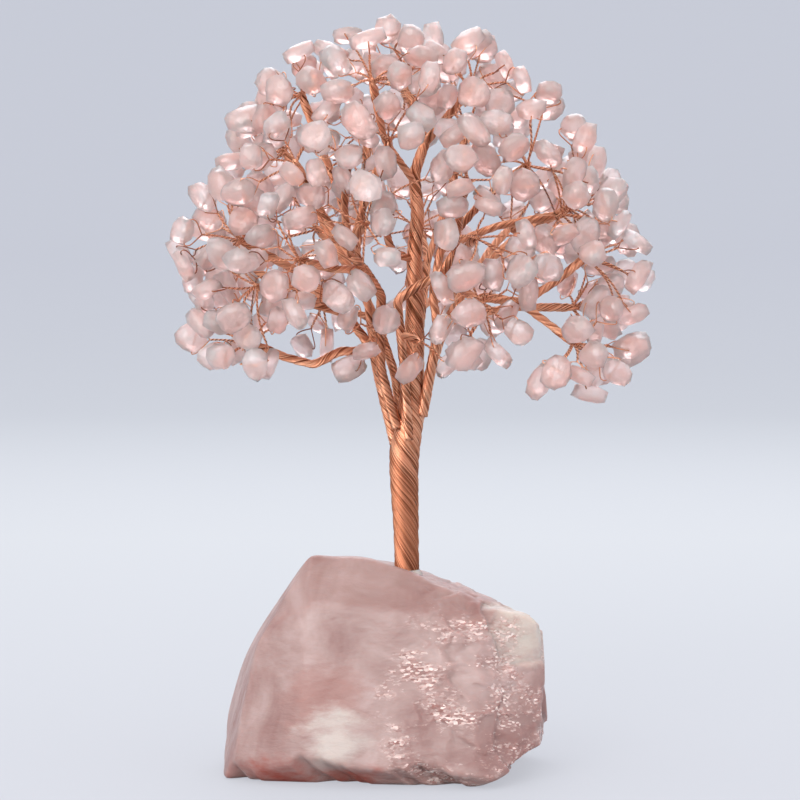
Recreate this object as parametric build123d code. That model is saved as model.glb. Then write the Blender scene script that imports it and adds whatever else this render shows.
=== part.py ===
from build123d import *
import functools
import itertools
import os

import numpy as np

# A gemstone tree: tumbled rose quartz chips on twisted copper wire, set in a raw rose quartz base.
# Millimetres, +Z up. The origin is on the resting face, and the trunk's foot is almost above it.
# X runs along the base's longer side, to the right as seen from the front, and -Y is the front.

# Copper wire. A twig is one wire, doubled back through its chip and twisted with itself.
WIRE_RADIUS = 0.17
PAIR_HALF_GAP = 0.18
KNOT_RADIUS = 1.15
KNOT_HALF_LENGTH = 1.0
KNOT_FACES = 8
KNOT_CORNERS = 1.25
WIRE_FACES = 4

# Tumbled chips: half sizes along the length, the width and the thickness.
CHIP_LENGTH = (4.2, 5.9)
CHIP_WIDTH = (3.4, 4.5)
CHIP_THICKNESS = (1.8, 2.7)
CHIP_RIM_FACES = 7
CHIP_BEVEL_FACES = 5

# How a chip's faces vary: the turn of each within its share of the way round, the tilt of the rim's
# faces, how far each is worn back, and how steeply the bevels lean. Angles here are in radians.
FACE_TURN = 0.22
RIM_TILT = 0.2
RIM_WEAR = (0.8, 1.0)
BEVEL_LEAN = (0.7, 1.05)
BEVEL_WEAR = (0.79, 0.87)
DRILL_RADIUS = 0.5
DRILL_FACES = 6
DRILL_REACH = 8.0
WIRE_TO_CHIP = 0.1

# The doubled wire forks this far behind its chip and goes through the hole this share of the way back.
FORK_ROOM = 0.9
HOLE_SHARE = 0.25

# A chip leans against its twig by up to this, in radians. A twig bows sideways and towards its
# spray's middle, and doesn't point back along its branch by more than BACKWARD.
CHIP_LEAN = 1.5
TWIG_BOW = 0.5
TWIG_LEAN = 0.22
BACKWARD = -0.25

# Clear room that each chip and each twig keeps to what was placed before it.
CHIP_GAP = 0.3
OWN_LIMB_CHIP_GAP = 0.12
WIRE_GAP = 0.18
SAMPLE_STEP = 0.6

# Farther apart than these, two chips can't touch, and neither can a chip and another's wire.
CHIP_REACH = 13.0
TWIG_REACH = 26.0
CHIP_HALF_REACH = 12.0
WIRE_REACH = 4.0

# Near its knot a twig may touch its own branch, its spray's other twigs, and the knot.
KNOT_ROOM = 1.6
OWN_BRANCH_ROOM = 2.4
OTHER_TWIGS_ROOM = 4.0

# Steps from a spray's usual twig length to the lengths that are tried, in this order.
LENGTH_STEPS = (0.0, 2.0, -1.5, 4.0, -3.0, 6.0, -4.0, 8.0)
LENGTH_JITTER = 0.6
SHORTEST_TWIG = 2.5
ATTEMPTS = 32
STRAY = 0.5
SEED = 7
GOLDEN_TURN = 2.39996
TURN_JITTER = 0.2

# Two planes are parallel, and two points are the same, below these.
PARALLEL = 1e-4
SAME = 1e-6

# The canopy's outline is an egg shape. Its lower edge is a plane that falls to the right: its height
# above the middle of the base, and its fall for each millimetre along X.
CANOPY_MIDDLE = (3.0, 1.0, 127.0)
CANOPY_HALF = (65.0, 58.0, 71.5)
LOWER_EDGE = 99.5
LOWER_EDGE_FALL = 0.12

# In front of the leader no chip hangs between these, so that it shows.
WINDOW_X = (0.8, 6.6)
WINDOW_Z = (125.0, 158.0)

# How far a limb bends outwards about its root, and the angles at which its chips' room is tested.
LIMB_BEND = 12.0
BEND_STEPS = (2.0, 4.0, 6.0, 8.0, 10.0, 12.0)

# The balls at a bundle's bends stand a little proud of it. Each limb's root is a ball in a seat.
BEND_BALL = 1.03
ROOT_CLEARANCE = 0.15
SLOT_ROOM = 0.1

# The drilled socket under the trunk, with resin round and under the foot.
SOCKET_RADIUS = 4.1
RESIN_UNDER = 0.8
SEAT_TOP = 52.2
ABOVE_STONE = 62.0
RESIN_FILLET = 1.0
RESIN_LIP = 0.15

# The raw stone's broken faces: azimuth and elevation of the outward normal, a point on the face.
STONE_MIDDLE = (-3.0, 0.0, 25.0)
STONE_PLANES = [
    (0.0, -90.0, (0.0, 0.0, 0.0)),
    (10.0, 70.0, (5.0, 0.0, 52.6)),
    (75.0, 82.0, (-15.0, 0.0, 57.0)),
    (182.0, 31.0, (-29.0, -2.0, 50.0)),
    (190.0, 14.0, (-42.0, -6.0, 20.0)),
    (176.0, -8.0, (-46.5, 5.0, 5.0)),
    (358.0, 4.0, (38.4, 0.0, 21.0)),
    (350.0, -62.0, (36.9, -6.0, 7.0)),
    (5.0, 48.0, (36.0, 0.0, 41.3)),
    (268.0, 15.0, (0.0, -24.5, 14.0)),
    (274.0, 47.0, (2.0, -13.5, 47.0)),
    (300.0, 12.0, (30.0, -18.0, 22.0)),
    (245.0, 14.0, (-28.0, -20.5, 20.0)),
    (225.0, 38.0, (-28.0, -13.0, 45.0)),
    (262.0, -52.0, (-12.0, -24.0, 4.0)),
    (240.0, -20.0, (-38.0, -20.0, 6.0)),
    (88.0, 9.0, (0.0, 27.0, 15.0)),
    (60.0, 22.0, (24.0, 20.0, 22.0)),
    (122.0, 18.0, (-26.0, 21.0, 20.0)),
    (95.0, 50.0, (-5.0, 19.0, 46.0)),
    (150.0, 40.0, (-27.0, 14.0, 44.0)),
    (80.0, -35.0, (5.0, 26.0, 5.0)),
    (40.0, 45.0, (26.0, 14.0, 40.0)),
]

# Each limb is a bundle of twisted wires, as (x, y, z, radius) along its middle.
TRUNK = [
    (1.8, 0.0, 38.0, 3.2),
    (1.8, 0.0, 55.0, 3.2),
    (1.6, 0.0, 64.0, 3.3),
    (1.0, 0.0, 78.8, 3.8),
    (1.2, 0.0, 84.5, 3.95),
    (2.4, 0.0, 92.0, 3.75),
    (3.2, 0.0, 99.0, 3.1),
]
LEADER = [
    (3.2, 0.0, 99.0, 3.1),
    (3.6, 0.2, 110.0, 2.75),
    (4.0, 0.3, 123.8, 2.4),
    (3.7, 0.0, 135.7, 1.95),
    (4.6, 0.0, 146.0, 1.75),
    (3.6, 0.0, 156.0, 1.5),
    (6.5, 0.0, 164.3, 1.35),
]

# Every limb: where it points (degrees round Z from +X), its bundle, and the branches that leave it.
# A branch is (spray that it carries, its points). The last point of each is the spray's knot.
LIMBS = {
    "leader": {
        "bundle": LEADER,
        "branches": [
            ("top", [(6.5, 0.0, 164.3, 1.2), (4.0, 1.0, 172.0, 1.1), (1.6, 3.0, 179.5, 1.0)]),
            ("top_right", [(6.5, 0.0, 164.3, 1.2), (12.0, -5.0, 170.5, 1.1), (17.5, -10.0, 177.5, 1.0)]),
            ("top_front", [(3.8, 0.0, 154.0, 1.0), (-4.0, -9.0, 165.0, 0.9), (-7.0, -14.0, 179.5, 0.9)]),
            ("centre", [(3.7, 0.0, 134.0, 1.1), (-2.0, -4.0, 136.0, 1.1), (-3.5, -7.0, 141.0, 1.0),
                        (-4.5, -10.0, 148.0, 0.9)]),
            ("top_back", [(6.5, 0.0, 164.3, 1.2), (5.0, 9.0, 171.0, 1.0), (1.0, 20.0, 177.0, 0.9)]),
        ],
    },
    "left": {
        "points_to": 185.0,
        "bundle": [(-1.2, 0.4, 86.0, 1.5), (-3.6, 0.7, 95.7, 1.5), (-5.3, 1.0, 103.0, 1.45),
                   (-6.7, 0.6, 110.0, 1.4)],
        "branches": [
            ("left_low", [(-6.7, 0.6, 110.0, 1.3), (-15.6, -3.0, 110.5, 1.2), (-22.0, -5.0, 107.0, 1.15),
                          (-29.0, -7.0, 109.0, 1.1), (-37.0, -10.0, 112.5, 1.0)]),
            ("left", [(-6.7, 0.6, 110.0, 1.3), (-14.0, -1.0, 120.0, 1.2), (-26.0, -5.0, 131.0, 1.1),
                      (-40.0, -12.0, 139.0, 1.0)]),
            ("left_front", [(-14.0, -1.0, 120.0, 1.1), (-26.0, -10.0, 124.0, 1.0), (-36.0, -18.0, 128.0, 0.9)]),
            ("left_back", [(-14.0, -1.0, 120.0, 1.1), (-26.0, 4.0, 126.0, 1.0), (-39.0, 6.0, 131.0, 0.9)]),
            ("left_top", [(-6.7, 0.6, 110.0, 1.2), (-9.0, 0.0, 128.0, 1.1), (-16.0, -4.0, 152.0, 1.0),
                          (-25.0, -8.0, 176.0, 0.9)]),
        ],
    },
    "front_left": {
        "points_to": 235.0,
        "bundle": [(-0.6, -2.3, 90.5, 1.35), (-2.9, -3.6, 98.0, 1.35), (-5.0, -4.2, 106.0, 1.3),
                   (-5.4, -5.2, 118.0, 1.3), (-4.6, -8.5, 125.0, 1.25), (-8.8, -14.0, 132.0, 1.2),
                   (-12.5, -18.0, 136.0, 1.15)],
        "branches": [
            ("front_left", [(-12.5, -18.0, 136.0, 1.1), (-12.0, -24.0, 140.0, 1.1), (-8.5, -29.0, 144.0, 1.1)]),
            ("left_middle", [(-8.8, -14.0, 132.0, 1.0), (-17.0, -21.0, 132.5, 1.0), (-25.0, -28.0, 135.0, 0.9)]),
            ("left_high", [(-12.5, -18.0, 136.0, 1.1), (-20.0, -21.0, 147.0, 1.0), (-26.0, -24.0, 159.0, 0.9)]),
            ("front_upper", [(-12.5, -18.0, 136.0, 1.0), (-14.0, -25.0, 148.0, 1.0), (-13.0, -31.0, 160.0, 0.9)]),
            ("front_high", [(-12.5, -18.0, 136.0, 1.1), (-9.0, -22.0, 149.0, 1.0), (-2.6, -27.0, 164.5, 0.9)]),
            ("front_low_left", [(-5.4, -5.2, 118.0, 1.0), (-7.0, -8.0, 117.5, 0.9), (-6.0, -11.0, 116.5, 0.9)]),
        ],
    },
    "front_right": {
        "points_to": 298.0,
        "bundle": [(2.4, -3.1, 87.5, 1.2), (1.6, -5.2, 100.0, 1.2), (0.2, -6.6, 115.0, 1.2),
                   (-0.8, -7.4, 124.0, 1.25), (5.2, -8.0, 127.9, 1.25), (10.1, -9.0, 130.3, 1.25),
                   (14.0, -10.5, 136.0, 1.2)],
        "branches": [
            ("front_right", [(14.0, -10.5, 136.0, 1.0), (17.0, -20.0, 138.0, 1.0), (19.0, -30.0, 140.5, 0.9)]),
            ("front_right_high", [(14.0, -10.5, 136.0, 1.1), (15.0, -21.0, 146.0, 1.0),
                                  (16.5, -31.0, 155.0, 0.9)]),
            ("front_right_low", [(10.1, -9.0, 130.3, 1.0), (16.0, -18.0, 127.0, 1.0),
                                 (20.0, -26.5, 124.5, 0.9)]),
            ("front_low_right", [(0.2, -6.6, 115.0, 1.0), (2.5, -8.0, 114.5, 0.9), (4.5, -10.5, 113.5, 0.9)]),
        ],
    },
    "right": {
        "points_to": 340.0,
        "bundle": [(5.7, -1.2, 93.5, 1.5), (7.9, -2.4, 105.0, 1.45), (9.9, -3.2, 115.0, 1.4)],
        "branches": [
            ("right", [(9.9, -3.2, 115.0, 1.2), (8.4, -4.0, 125.3, 1.1), (10.5, -3.4, 137.0, 1.1),
                       (25.0, -8.0, 143.0, 1.0), (41.0, -14.0, 146.0, 1.0)]),
            ("right_middle", [(9.9, -3.2, 115.0, 1.3), (13.5, -5.5, 118.5, 1.3), (21.3, -11.0, 125.0, 1.3),
                              (30.7, -14.0, 123.5, 1.3), (39.0, -14.5, 128.5, 1.0), (47.0, -14.0, 135.0, 0.9)]),
            ("right_low", [(30.7, -14.0, 123.5, 1.1), (37.5, -13.0, 118.5, 1.0), (44.0, -13.0, 113.5, 0.9)]),
            ("right_high", [(10.5, -3.4, 137.0, 1.1), (22.0, -13.0, 150.5, 1.0), (32.0, -18.0, 158.5, 0.9)]),
        ],
    },
    "back_right": {
        "points_to": 35.0,
        "bundle": [(4.4, 2.4, 88.5, 1.25), (6.9, 4.6, 102.0, 1.25), (12.0, 8.0, 117.0, 1.25),
                   (19.0, 13.0, 129.0, 1.2)],
        "branches": [
            ("right_back", [(19.0, 13.0, 129.0, 1.1), (31.0, 12.0, 140.0, 1.0), (44.0, 8.0, 147.0, 0.9)]),
            ("back_right", [(19.0, 13.0, 129.0, 1.1), (24.0, 20.0, 136.0, 1.0), (29.0, 28.0, 141.0, 0.9)]),
            ("back_right_low", [(12.0, 8.0, 117.0, 1.0), (28.0, 12.0, 121.0, 1.0), (45.0, 10.0, 121.0, 0.9)]),
        ],
    },
    "back": {
        "points_to": 80.0,
        "bundle": [(2.9, 3.1, 95.0, 1.2), (4.2, 5.4, 108.0, 1.2), (5.8, 11.0, 121.0, 1.2),
                   (7.0, 20.0, 132.0, 1.15)],
        "branches": [
            ("back", [(7.0, 20.0, 132.0, 1.1), (6.5, 28.0, 137.0, 1.0), (5.0, 36.0, 141.0, 0.9)]),
            ("back_high", [(7.0, 20.0, 132.0, 1.0), (13.0, 22.0, 150.0, 0.9), (17.5, 26.0, 166.0, 0.9)]),
            ("back_low", [(5.8, 11.0, 121.0, 1.0), (9.0, 22.0, 123.0, 0.9), (14.0, 33.0, 123.0, 0.9)]),
        ],
    },
    "back_left": {
        "points_to": 130.0,
        "bundle": [(0.2, 3.1, 92.0, 1.2), (-1.4, 6.2, 104.0, 1.2), (-6.0, 11.0, 117.0, 1.2),
                   (-12.0, 17.0, 129.0, 1.15)],
        "branches": [
            ("back_left", [(-12.0, 17.0, 129.0, 1.1), (-17.0, 23.0, 135.0, 1.0), (-22.0, 29.0, 141.0, 0.9)]),
            ("left_back_high", [(-12.0, 17.0, 129.0, 1.1), (-22.0, 17.0, 146.0, 1.0), (-30.0, 17.0, 161.0, 0.9)]),
            ("back_left_high", [(-12.0, 17.0, 129.0, 1.0), (-10.0, 23.0, 149.0, 0.9),
                                (-8.5, 28.0, 166.0, 0.9)]),
            ("back_left_low", [(-6.0, 11.0, 117.0, 1.0), (-13.0, 19.0, 120.0, 0.9), (-20.0, 28.0, 121.0, 0.9)]),
        ],
    },
}

# Every spray: azimuth and elevation of its middle, the least and the greatest angle of its twigs
# from that middle, in degrees, its usual twig length, and how many chips are tried.
# The sprays that the front shows are filled first.
FRONT_SPRAYS = {
    "front_low_left": (240.0, -10.0, 10.0, 82.0, 7.0, 0),
    "front_low_right": (300.0, -10.0, 10.0, 82.0, 7.0, 0),
    "front_left": (258.0, 12.0, 48.0, 98.0, 12.0, 18),
    "left": (215.0, 15.0, 38.0, 96.0, 10.5, 18),
    "left_low": (215.0, 24.0, 30.0, 88.0, 10.0, 17),
    "front_right": (285.0, 5.0, 42.0, 95.0, 10.0, 16),
    "right": (325.0, 20.0, 38.0, 95.0, 10.5, 17),
    "right_low": (322.0, -8.0, 32.0, 92.0, 9.0, 17),
    "top_right": (300.0, 42.0, 38.0, 92.0, 10.0, 18),
    "top_front": (262.0, 40.0, 42.0, 96.0, 9.5, 18),
    "front_high": (265.0, 30.0, 25.0, 82.0, 8.5, 14),
    "left_high": (232.0, 22.0, 38.0, 94.0, 10.0, 17),
    "right_high": (302.0, 22.0, 42.0, 96.0, 11.0, 18),
    "left_top": (222.0, 42.0, 32.0, 92.0, 9.5, 18),
    "left_middle": (240.0, 5.0, 38.0, 92.0, 9.0, 16),
    "right_middle": (315.0, 10.0, 38.0, 95.0, 10.5, 17),
    "front_right_low": (295.0, -5.0, 35.0, 90.0, 8.0, 14),
    "front_right_high": (290.0, 25.0, 20.0, 82.0, 8.0, 14),
    "front_upper": (250.0, 30.0, 20.0, 82.0, 8.0, 14),
    "left_front": (215.0, -5.0, 25.0, 88.0, 8.0, 14),
    "top": (90.0, 85.0, 8.0, 78.0, 7.5, 14),
    "centre": (240.0, 30.0, 10.0, 80.0, 6.0, 6),
}
BACK_SPRAYS = {
    "top_back": (95.0, 50.0, 5.0, 78.0, 8.5, 15),
    "left_back": (168.0, 10.0, 5.0, 80.0, 10.0, 14),
    "right_back": (10.0, 15.0, 5.0, 80.0, 10.0, 15),
    "back_right": (42.0, 10.0, 5.0, 80.0, 10.5, 15),
    "back_right_low": (20.0, 0.0, 5.0, 78.0, 9.5, 14),
    "back": (85.0, 5.0, 5.0, 80.0, 10.0, 15),
    "back_high": (60.0, 35.0, 5.0, 80.0, 9.5, 15),
    "back_low": (75.0, 0.0, 5.0, 76.0, 9.0, 13),
    "back_left": (130.0, 5.0, 5.0, 80.0, 10.0, 15),
    "left_back_high": (155.0, 35.0, 5.0, 80.0, 9.5, 15),
    "back_left_high": (115.0, 35.0, 5.0, 80.0, 9.5, 15),
    "back_left_low": (130.0, 0.0, 5.0, 76.0, 9.0, 13),
}
SPRAYS = FRONT_SPRAYS | BACK_SPRAYS

# Chips that hang where the front shows them: the spray that each belongs to and its middle.
PLACED = [
    ("front_low_left", (-3.5, -19.5, 119.5)),
    ("front_low_left", (-8.5, -16.5, 111.5)),
    ("front_low_left", (-13.5, -11.5, 119.5)),
    ("front_low_left", (-13.0, -8.0, 106.5)),
    ("front_low_right", (2.6, -16.5, 107.0)),
    ("front_low_right", (10.5, -14.5, 117.0)),
    ("front_low_right", (12.5, -13.5, 108.0)),
]


def unit(vector):
    """The same direction at length 1."""
    vector = np.asarray(vector, float)
    return vector / np.linalg.norm(vector, axis=-1, keepdims=True)


def from_angles(azimuth, elevation):
    """The direction at an azimuth round Z and an elevation above the horizon, in degrees."""
    turn, rise = np.radians(azimuth), np.radians(elevation)
    return np.array([np.cos(rise) * np.cos(turn), np.cos(rise) * np.sin(turn), np.sin(rise)])


def square_to(axis):
    """Two directions that are square to an axis and to each other."""
    helper = np.array([0.0, 0.0, 1.0]) if abs(axis[2]) < 0.9 else np.array([1.0, 0.0, 0.0])
    side = unit(np.cross(axis, helper))
    return side, np.cross(axis, side)


@functools.cache
def picks(count, size):
    """Every way to pick size of count things, one a row."""
    return np.array(list(itertools.combinations(range(count), size)))


def corners_of(normals, offsets):
    """Corners of the convex body that lies behind every plane normal . point = offset."""
    triples = picks(len(normals), 3)
    planes = normals[triples]
    crossing = abs(np.linalg.det(planes)) > PARALLEL
    points = np.linalg.solve(planes[crossing], offsets[triples[crossing]][..., None])[..., 0]
    return points[(points @ normals.T <= offsets + SAME).all(axis=1)]


def chip_planes(draw):
    """Planes of one tumbled chip about its middle: X along it, Y across it, Z through it."""
    length, width, thickness = (draw.uniform(*r) for r in (CHIP_LENGTH, CHIP_WIDTH, CHIP_THICKNESS))
    normals, offsets = [(0.0, 0.0, 1.0), (0.0, 0.0, -1.0)], [thickness, thickness]
    turn = draw.uniform(0, 2 * np.pi)
    for k in range(CHIP_RIM_FACES):
        angle = turn + 2 * np.pi * (k + draw.uniform(-FACE_TURN, FACE_TURN)) / CHIP_RIM_FACES
        normals.append((np.cos(angle), np.sin(angle), draw.uniform(-RIM_TILT, RIM_TILT)))
        offsets.append(np.hypot(length * np.cos(angle), width * np.sin(angle)) * draw.uniform(*RIM_WEAR))
    for side in (1.0, -1.0):
        turn = draw.uniform(0, 2 * np.pi)
        for k in range(CHIP_BEVEL_FACES):
            angle = turn + 2 * np.pi * (k + draw.uniform(-FACE_TURN, FACE_TURN)) / CHIP_BEVEL_FACES
            lean = draw.uniform(*BEVEL_LEAN)
            rim = np.hypot(length * np.cos(angle), width * np.sin(angle))
            normals.append((np.cos(angle) * np.cos(lean), np.sin(angle) * np.cos(lean), side * np.sin(lean)))
            offsets.append((rim * np.cos(lean) + thickness * np.sin(lean)) * draw.uniform(*BEVEL_WEAR))
    sizes = np.linalg.norm(normals, axis=1)
    return np.array(normals) / sizes[:, None], np.array(offsets) / sizes


def samples_along(points, radii):
    """Spheres (x, y, z, radius) at most SAMPLE_STEP apart along a path."""
    points, radii = np.asarray(points, float), np.asarray(radii, float)
    runs = []
    for start, end, r0, r1 in zip(points[:-1], points[1:], radii[:-1], radii[1:]):
        count = max(1, int(np.ceil(np.linalg.norm(end - start) / SAMPLE_STEP)))
        share = np.arange(count + 1)[:, None] / count
        runs.append(np.hstack([start + share * (end - start), r0 + share * (r1 - r0)]))
    return np.vstack(runs)


def wire_round(normals, offsets, along, across, back):
    """The doubled wire's way round a chip, as (distance along the twig, distance across it).

    It forks behind the chip, follows the chip's section on both sides, and goes through the drilled
    hole. Both distances are measured from the chip's middle."""
    fork = (-back - FORK_ROOM, 0.0)
    hole = -HOLE_SHARE * back
    section = np.column_stack([normals @ along, normals @ across])
    slope = np.linalg.norm(section, axis=1)
    kept = slope > 0.05
    section, reach = section[kept], offsets[kept] + slope[kept] * (WIRE_RADIUS + WIRE_TO_CHIP)
    pairs = picks(len(section), 2)
    crossing = abs(np.linalg.det(section[pairs])) > PARALLEL
    corners = np.linalg.solve(section[pairs[crossing]], reach[pairs[crossing]][..., None])[..., 0]
    corners = corners[(corners @ section.T <= reach + SAME).all(axis=1)]
    sides = []
    for side in (1.0, -1.0):
        mouth = ((reach - section[:, 0] * hole) / np.where(section[:, 1] * side > 1e-6, section[:, 1] * side,
                                                          np.nan))
        mouth = (hole, side * np.nanmin(mouth))
        arm = [fork]
        waiting = [c for c in corners if c[0] < hole - 0.2 and c[1] * side > 0] + [mouth]
        while arm[-1] is not mouth:
            slopes = [side * (c[1] - arm[-1][1]) / max(c[0] - arm[-1][0], 1e-9) for c in waiting]
            steepest = int(np.argmax(slopes))
            arm.append(waiting[steepest])
            waiting = [c for c in waiting if c[0] > arm[-1][0]]
            if not waiting and arm[-1] is not mouth:
                waiting = [mouth]
        sides.append(arm[1:])
    return np.array(fork), hole, np.array(sides[0]), np.array(sides[1])


def limb_samples(names, trunk_too=True):
    """Spheres along the trunk and some limbs, to keep the chips and the twigs clear of them."""
    runs = [samples_along(np.array(TRUNK)[:, :3], np.array(TRUNK)[:, 3])] if trunk_too else []
    for limb in (LIMBS[name] for name in names):
        paths = [np.array(limb["bundle"])] + [np.array(points) for name, points in limb["branches"]]
        runs += [samples_along(path[:, :3], path[:, 3]) for path in paths]
        runs += [samples_along(knot_ends(points), [KNOT_CORNERS] * 2) for name, points in limb["branches"]]
    return np.vstack(runs)


def knot_ends(points):
    """Both ends of the knot at the end of a branch."""
    end, before = np.array(points[-1][:3]), np.array(points[-2][:3])
    way = unit(end - before) * KNOT_HALF_LENGTH
    return np.array([end - way, end + way])


def bend_matrix(limb, degrees):
    """The turn of a limb that has bent outwards by an angle, for points in rows, and its root."""
    azimuth, root = np.radians(limb["points_to"]), np.array(limb["bundle"][0][:3])
    axis = np.array([-np.sin(azimuth), np.cos(azimuth), 0.0])
    sine, cosine = np.sin(np.radians(degrees)), np.cos(np.radians(degrees))
    skew = np.array([[0, -axis[2], axis[1]], [axis[2], 0, -axis[0]], [-axis[1], axis[0], 0]])
    return (np.eye(3) + sine * skew + (1 - cosine) * skew @ skew).T, root


def turned(spheres, limb, degrees):
    """Spheres of a limb after it has bent outwards by an angle."""
    turn, root = bend_matrix(limb, degrees)
    return np.column_stack([(spheres[:, :3] - root) @ turn + root, spheres[:, 3]])


def bent_samples(names, steps):
    """Spheres along some limbs, but not the leader, at some angles of their bend."""
    runs = [np.empty((0, 4))]
    for name in names:
        if name != "leader":
            spheres = limb_samples([name], trunk_too=False)
            runs += [turned(spheres, LIMBS[name], degrees) for degrees in steps]
    return np.vstack(runs)


class Crowd:
    """Chips that hang already, kept so that those near a place are found fast."""

    def __init__(self):
        self.chips = []
        self.middles = np.empty((0, 3))

    def add(self, chip):
        self.chips.append(chip)
        self.middles = np.vstack([self.middles, chip["middle"]])

    def near(self, chip, reach, strangers=False):
        """The chips within reach of a chip, or of those only the ones on other limbs."""
        apart = np.linalg.norm(self.middles - chip["middle"], axis=1)
        found = [self.chips[k] for k in np.flatnonzero(apart < reach)]
        return [c for c in found if c["limb"] != chip["limb"]] if strangers else found


def clear_of_spheres(normals, offsets, middle, spheres, gap):
    """Is a chip clear of every sphere? A sphere is clear if it lies wholly before one of its planes."""
    near = spheres[np.linalg.norm(spheres[:, :3] - middle, axis=1) < CHIP_HALF_REACH]
    if len(near) == 0:
        return True
    return bool((((near[:, :3] - middle) @ normals.T - offsets).max(axis=1) > near[:, 3] + gap).all())


def clear_of_chips(chip, others):
    """Does a face of one chip part it from each other chip, with the gap between them?"""
    for other in others:
        if np.linalg.norm(other["middle"] - chip["middle"]) > CHIP_REACH:
            continue
        ahead = (other["corners"] @ chip["normals"].T).min(axis=0) - chip["normals"] @ chip["middle"]
        behind = (chip["corners"] @ other["normals"].T).min(axis=0) - other["normals"] @ other["middle"]
        gap = OWN_LIMB_CHIP_GAP if other["limb"] == chip["limb"] else CHIP_GAP
        if max((ahead - chip["offsets"]).max(), (behind - other["offsets"]).max()) < gap:
            return False
    return True


def bent(chip, limb, degrees):
    """A chip with its wire where they are after their limb has bent outwards by an angle."""
    turn, root = bend_matrix(limb, degrees)
    return {"normals": chip["normals"] @ turn, "offsets": chip["offsets"], "limb": chip["limb"],
            "middle": (chip["middle"] - root) @ turn + root,
            "corners": (chip["corners"] - root) @ turn + root,
            "spheres": turned(chip["spheres"], limb, degrees)}


def misses(chip, crowd):
    """Is a chip with its wire clear of the chips of other limbs with theirs?"""
    others = crowd.near(chip, TWIG_REACH, strangers=True)
    planes = (chip["normals"], chip["offsets"], chip["middle"])
    return clear_of_chips(chip, others) and all(
        clear_of_spheres(*planes, c["spheres"], WIRE_GAP)
        and clear_of_spheres(c["normals"], c["offsets"], c["middle"], chip["spheres"], WIRE_GAP)
        and closest(chip["spheres"], c["spheres"]) > WIRE_GAP for c in others)


def clear_of_limbs(chip, samples):
    """Is a chip with its wire clear of balls along limbs?"""
    return (clear_of_spheres(chip["normals"], chip["offsets"], chip["middle"], samples, WIRE_GAP)
            and closest(chip["spheres"], samples) > WIRE_GAP)


def in_canopy(chip):
    """Does a chip keep inside the canopy's outline and above its lower edge?"""
    corners = chip["corners"]
    out = (corners - CANOPY_MIDDLE) / CANOPY_HALF
    edge = LOWER_EDGE - LOWER_EDGE_FALL * corners[:, 0]
    return bool(((out ** 2).sum(axis=1) < 1).all() and (corners[:, 2] > edge).all())


def blocks_window(chip):
    """Does a chip hang in front of the stretch of the leader that shows?"""
    low, high = chip["corners"].min(axis=0), chip["corners"].max(axis=0)
    beside = low[0] > WINDOW_X[1] or high[0] < WINDOW_X[0]
    above_or_below = low[2] > WINDOW_Z[1] or high[2] < WINDOW_Z[0]
    return high[1] < 0 and not beside and not above_or_below


def make_chip(draw, knot, toward, length, distance):
    """One chip at the end of a twig. toward is the twig's direction from the knot.

    distance, if it is given, is from the knot to the chip's middle, whatever the twig's length."""
    normals, offsets = chip_planes(draw)
    lean = draw.uniform(0.0, CHIP_LEAN)
    side, other = square_to(toward)
    roll = draw.uniform(0, 2 * np.pi)
    out = np.cos(roll) * side + np.sin(roll) * other
    along = np.cos(lean) * toward + np.sin(lean) * out
    through = np.cos(lean) * out - np.sin(lean) * toward
    across = np.cross(through, along)
    normals = normals @ np.array([along, across, through])
    corners = corners_of(normals, offsets)
    back = float(-(corners @ toward).min())
    fork, hole, right, left = wire_round(normals, offsets, toward, across, back)
    middle = knot + toward * (distance or length - fork[0])
    return {"normals": normals, "offsets": offsets, "middle": middle, "corners": corners + middle,
            "toward": toward, "across": across, "hole": hole, "fork": fork, "right": right, "left": left}


def twig_path(chip, knot, axis, bow):
    """Points of the twig's middle from inside the knot to the fork behind the chip."""
    end = chip["middle"] + chip["toward"] * chip["fork"][0]
    length = np.linalg.norm(end - knot)
    bend = knot + 0.5 * length * unit(chip["toward"] + TWIG_LEAN * axis) + bow
    return np.array([knot + 0.5 * unit(bend - knot), bend, end])


def loop_points(chip):
    """The single wire round the chip, from one side of the fork through the hole to the other."""
    path = np.vstack([chip["right"], chip["left"][::-1]])
    return chip["middle"] + path[:, :1] * chip["toward"] + path[:, 1:] * chip["across"]


def spray_directions(spray, draw):
    """Directions of a spray's twigs, spread evenly over the zone between its two angles."""
    azimuth, elevation, inner, outer, length, count = SPRAYS[spray]
    axis = from_angles(azimuth, elevation)
    side, other = square_to(axis)
    near, far = np.cos(np.radians(inner)), np.cos(np.radians(outer))
    for k in range(count):
        rise = near + (k + 0.5) / count * (far - near)
        turn = k * GOLDEN_TURN + draw.uniform(-TURN_JITTER, TURN_JITTER)
        flat = np.sqrt(1 - rise * rise)
        yield rise * axis + flat * (np.cos(turn) * side + np.sin(turn) * other)


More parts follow.
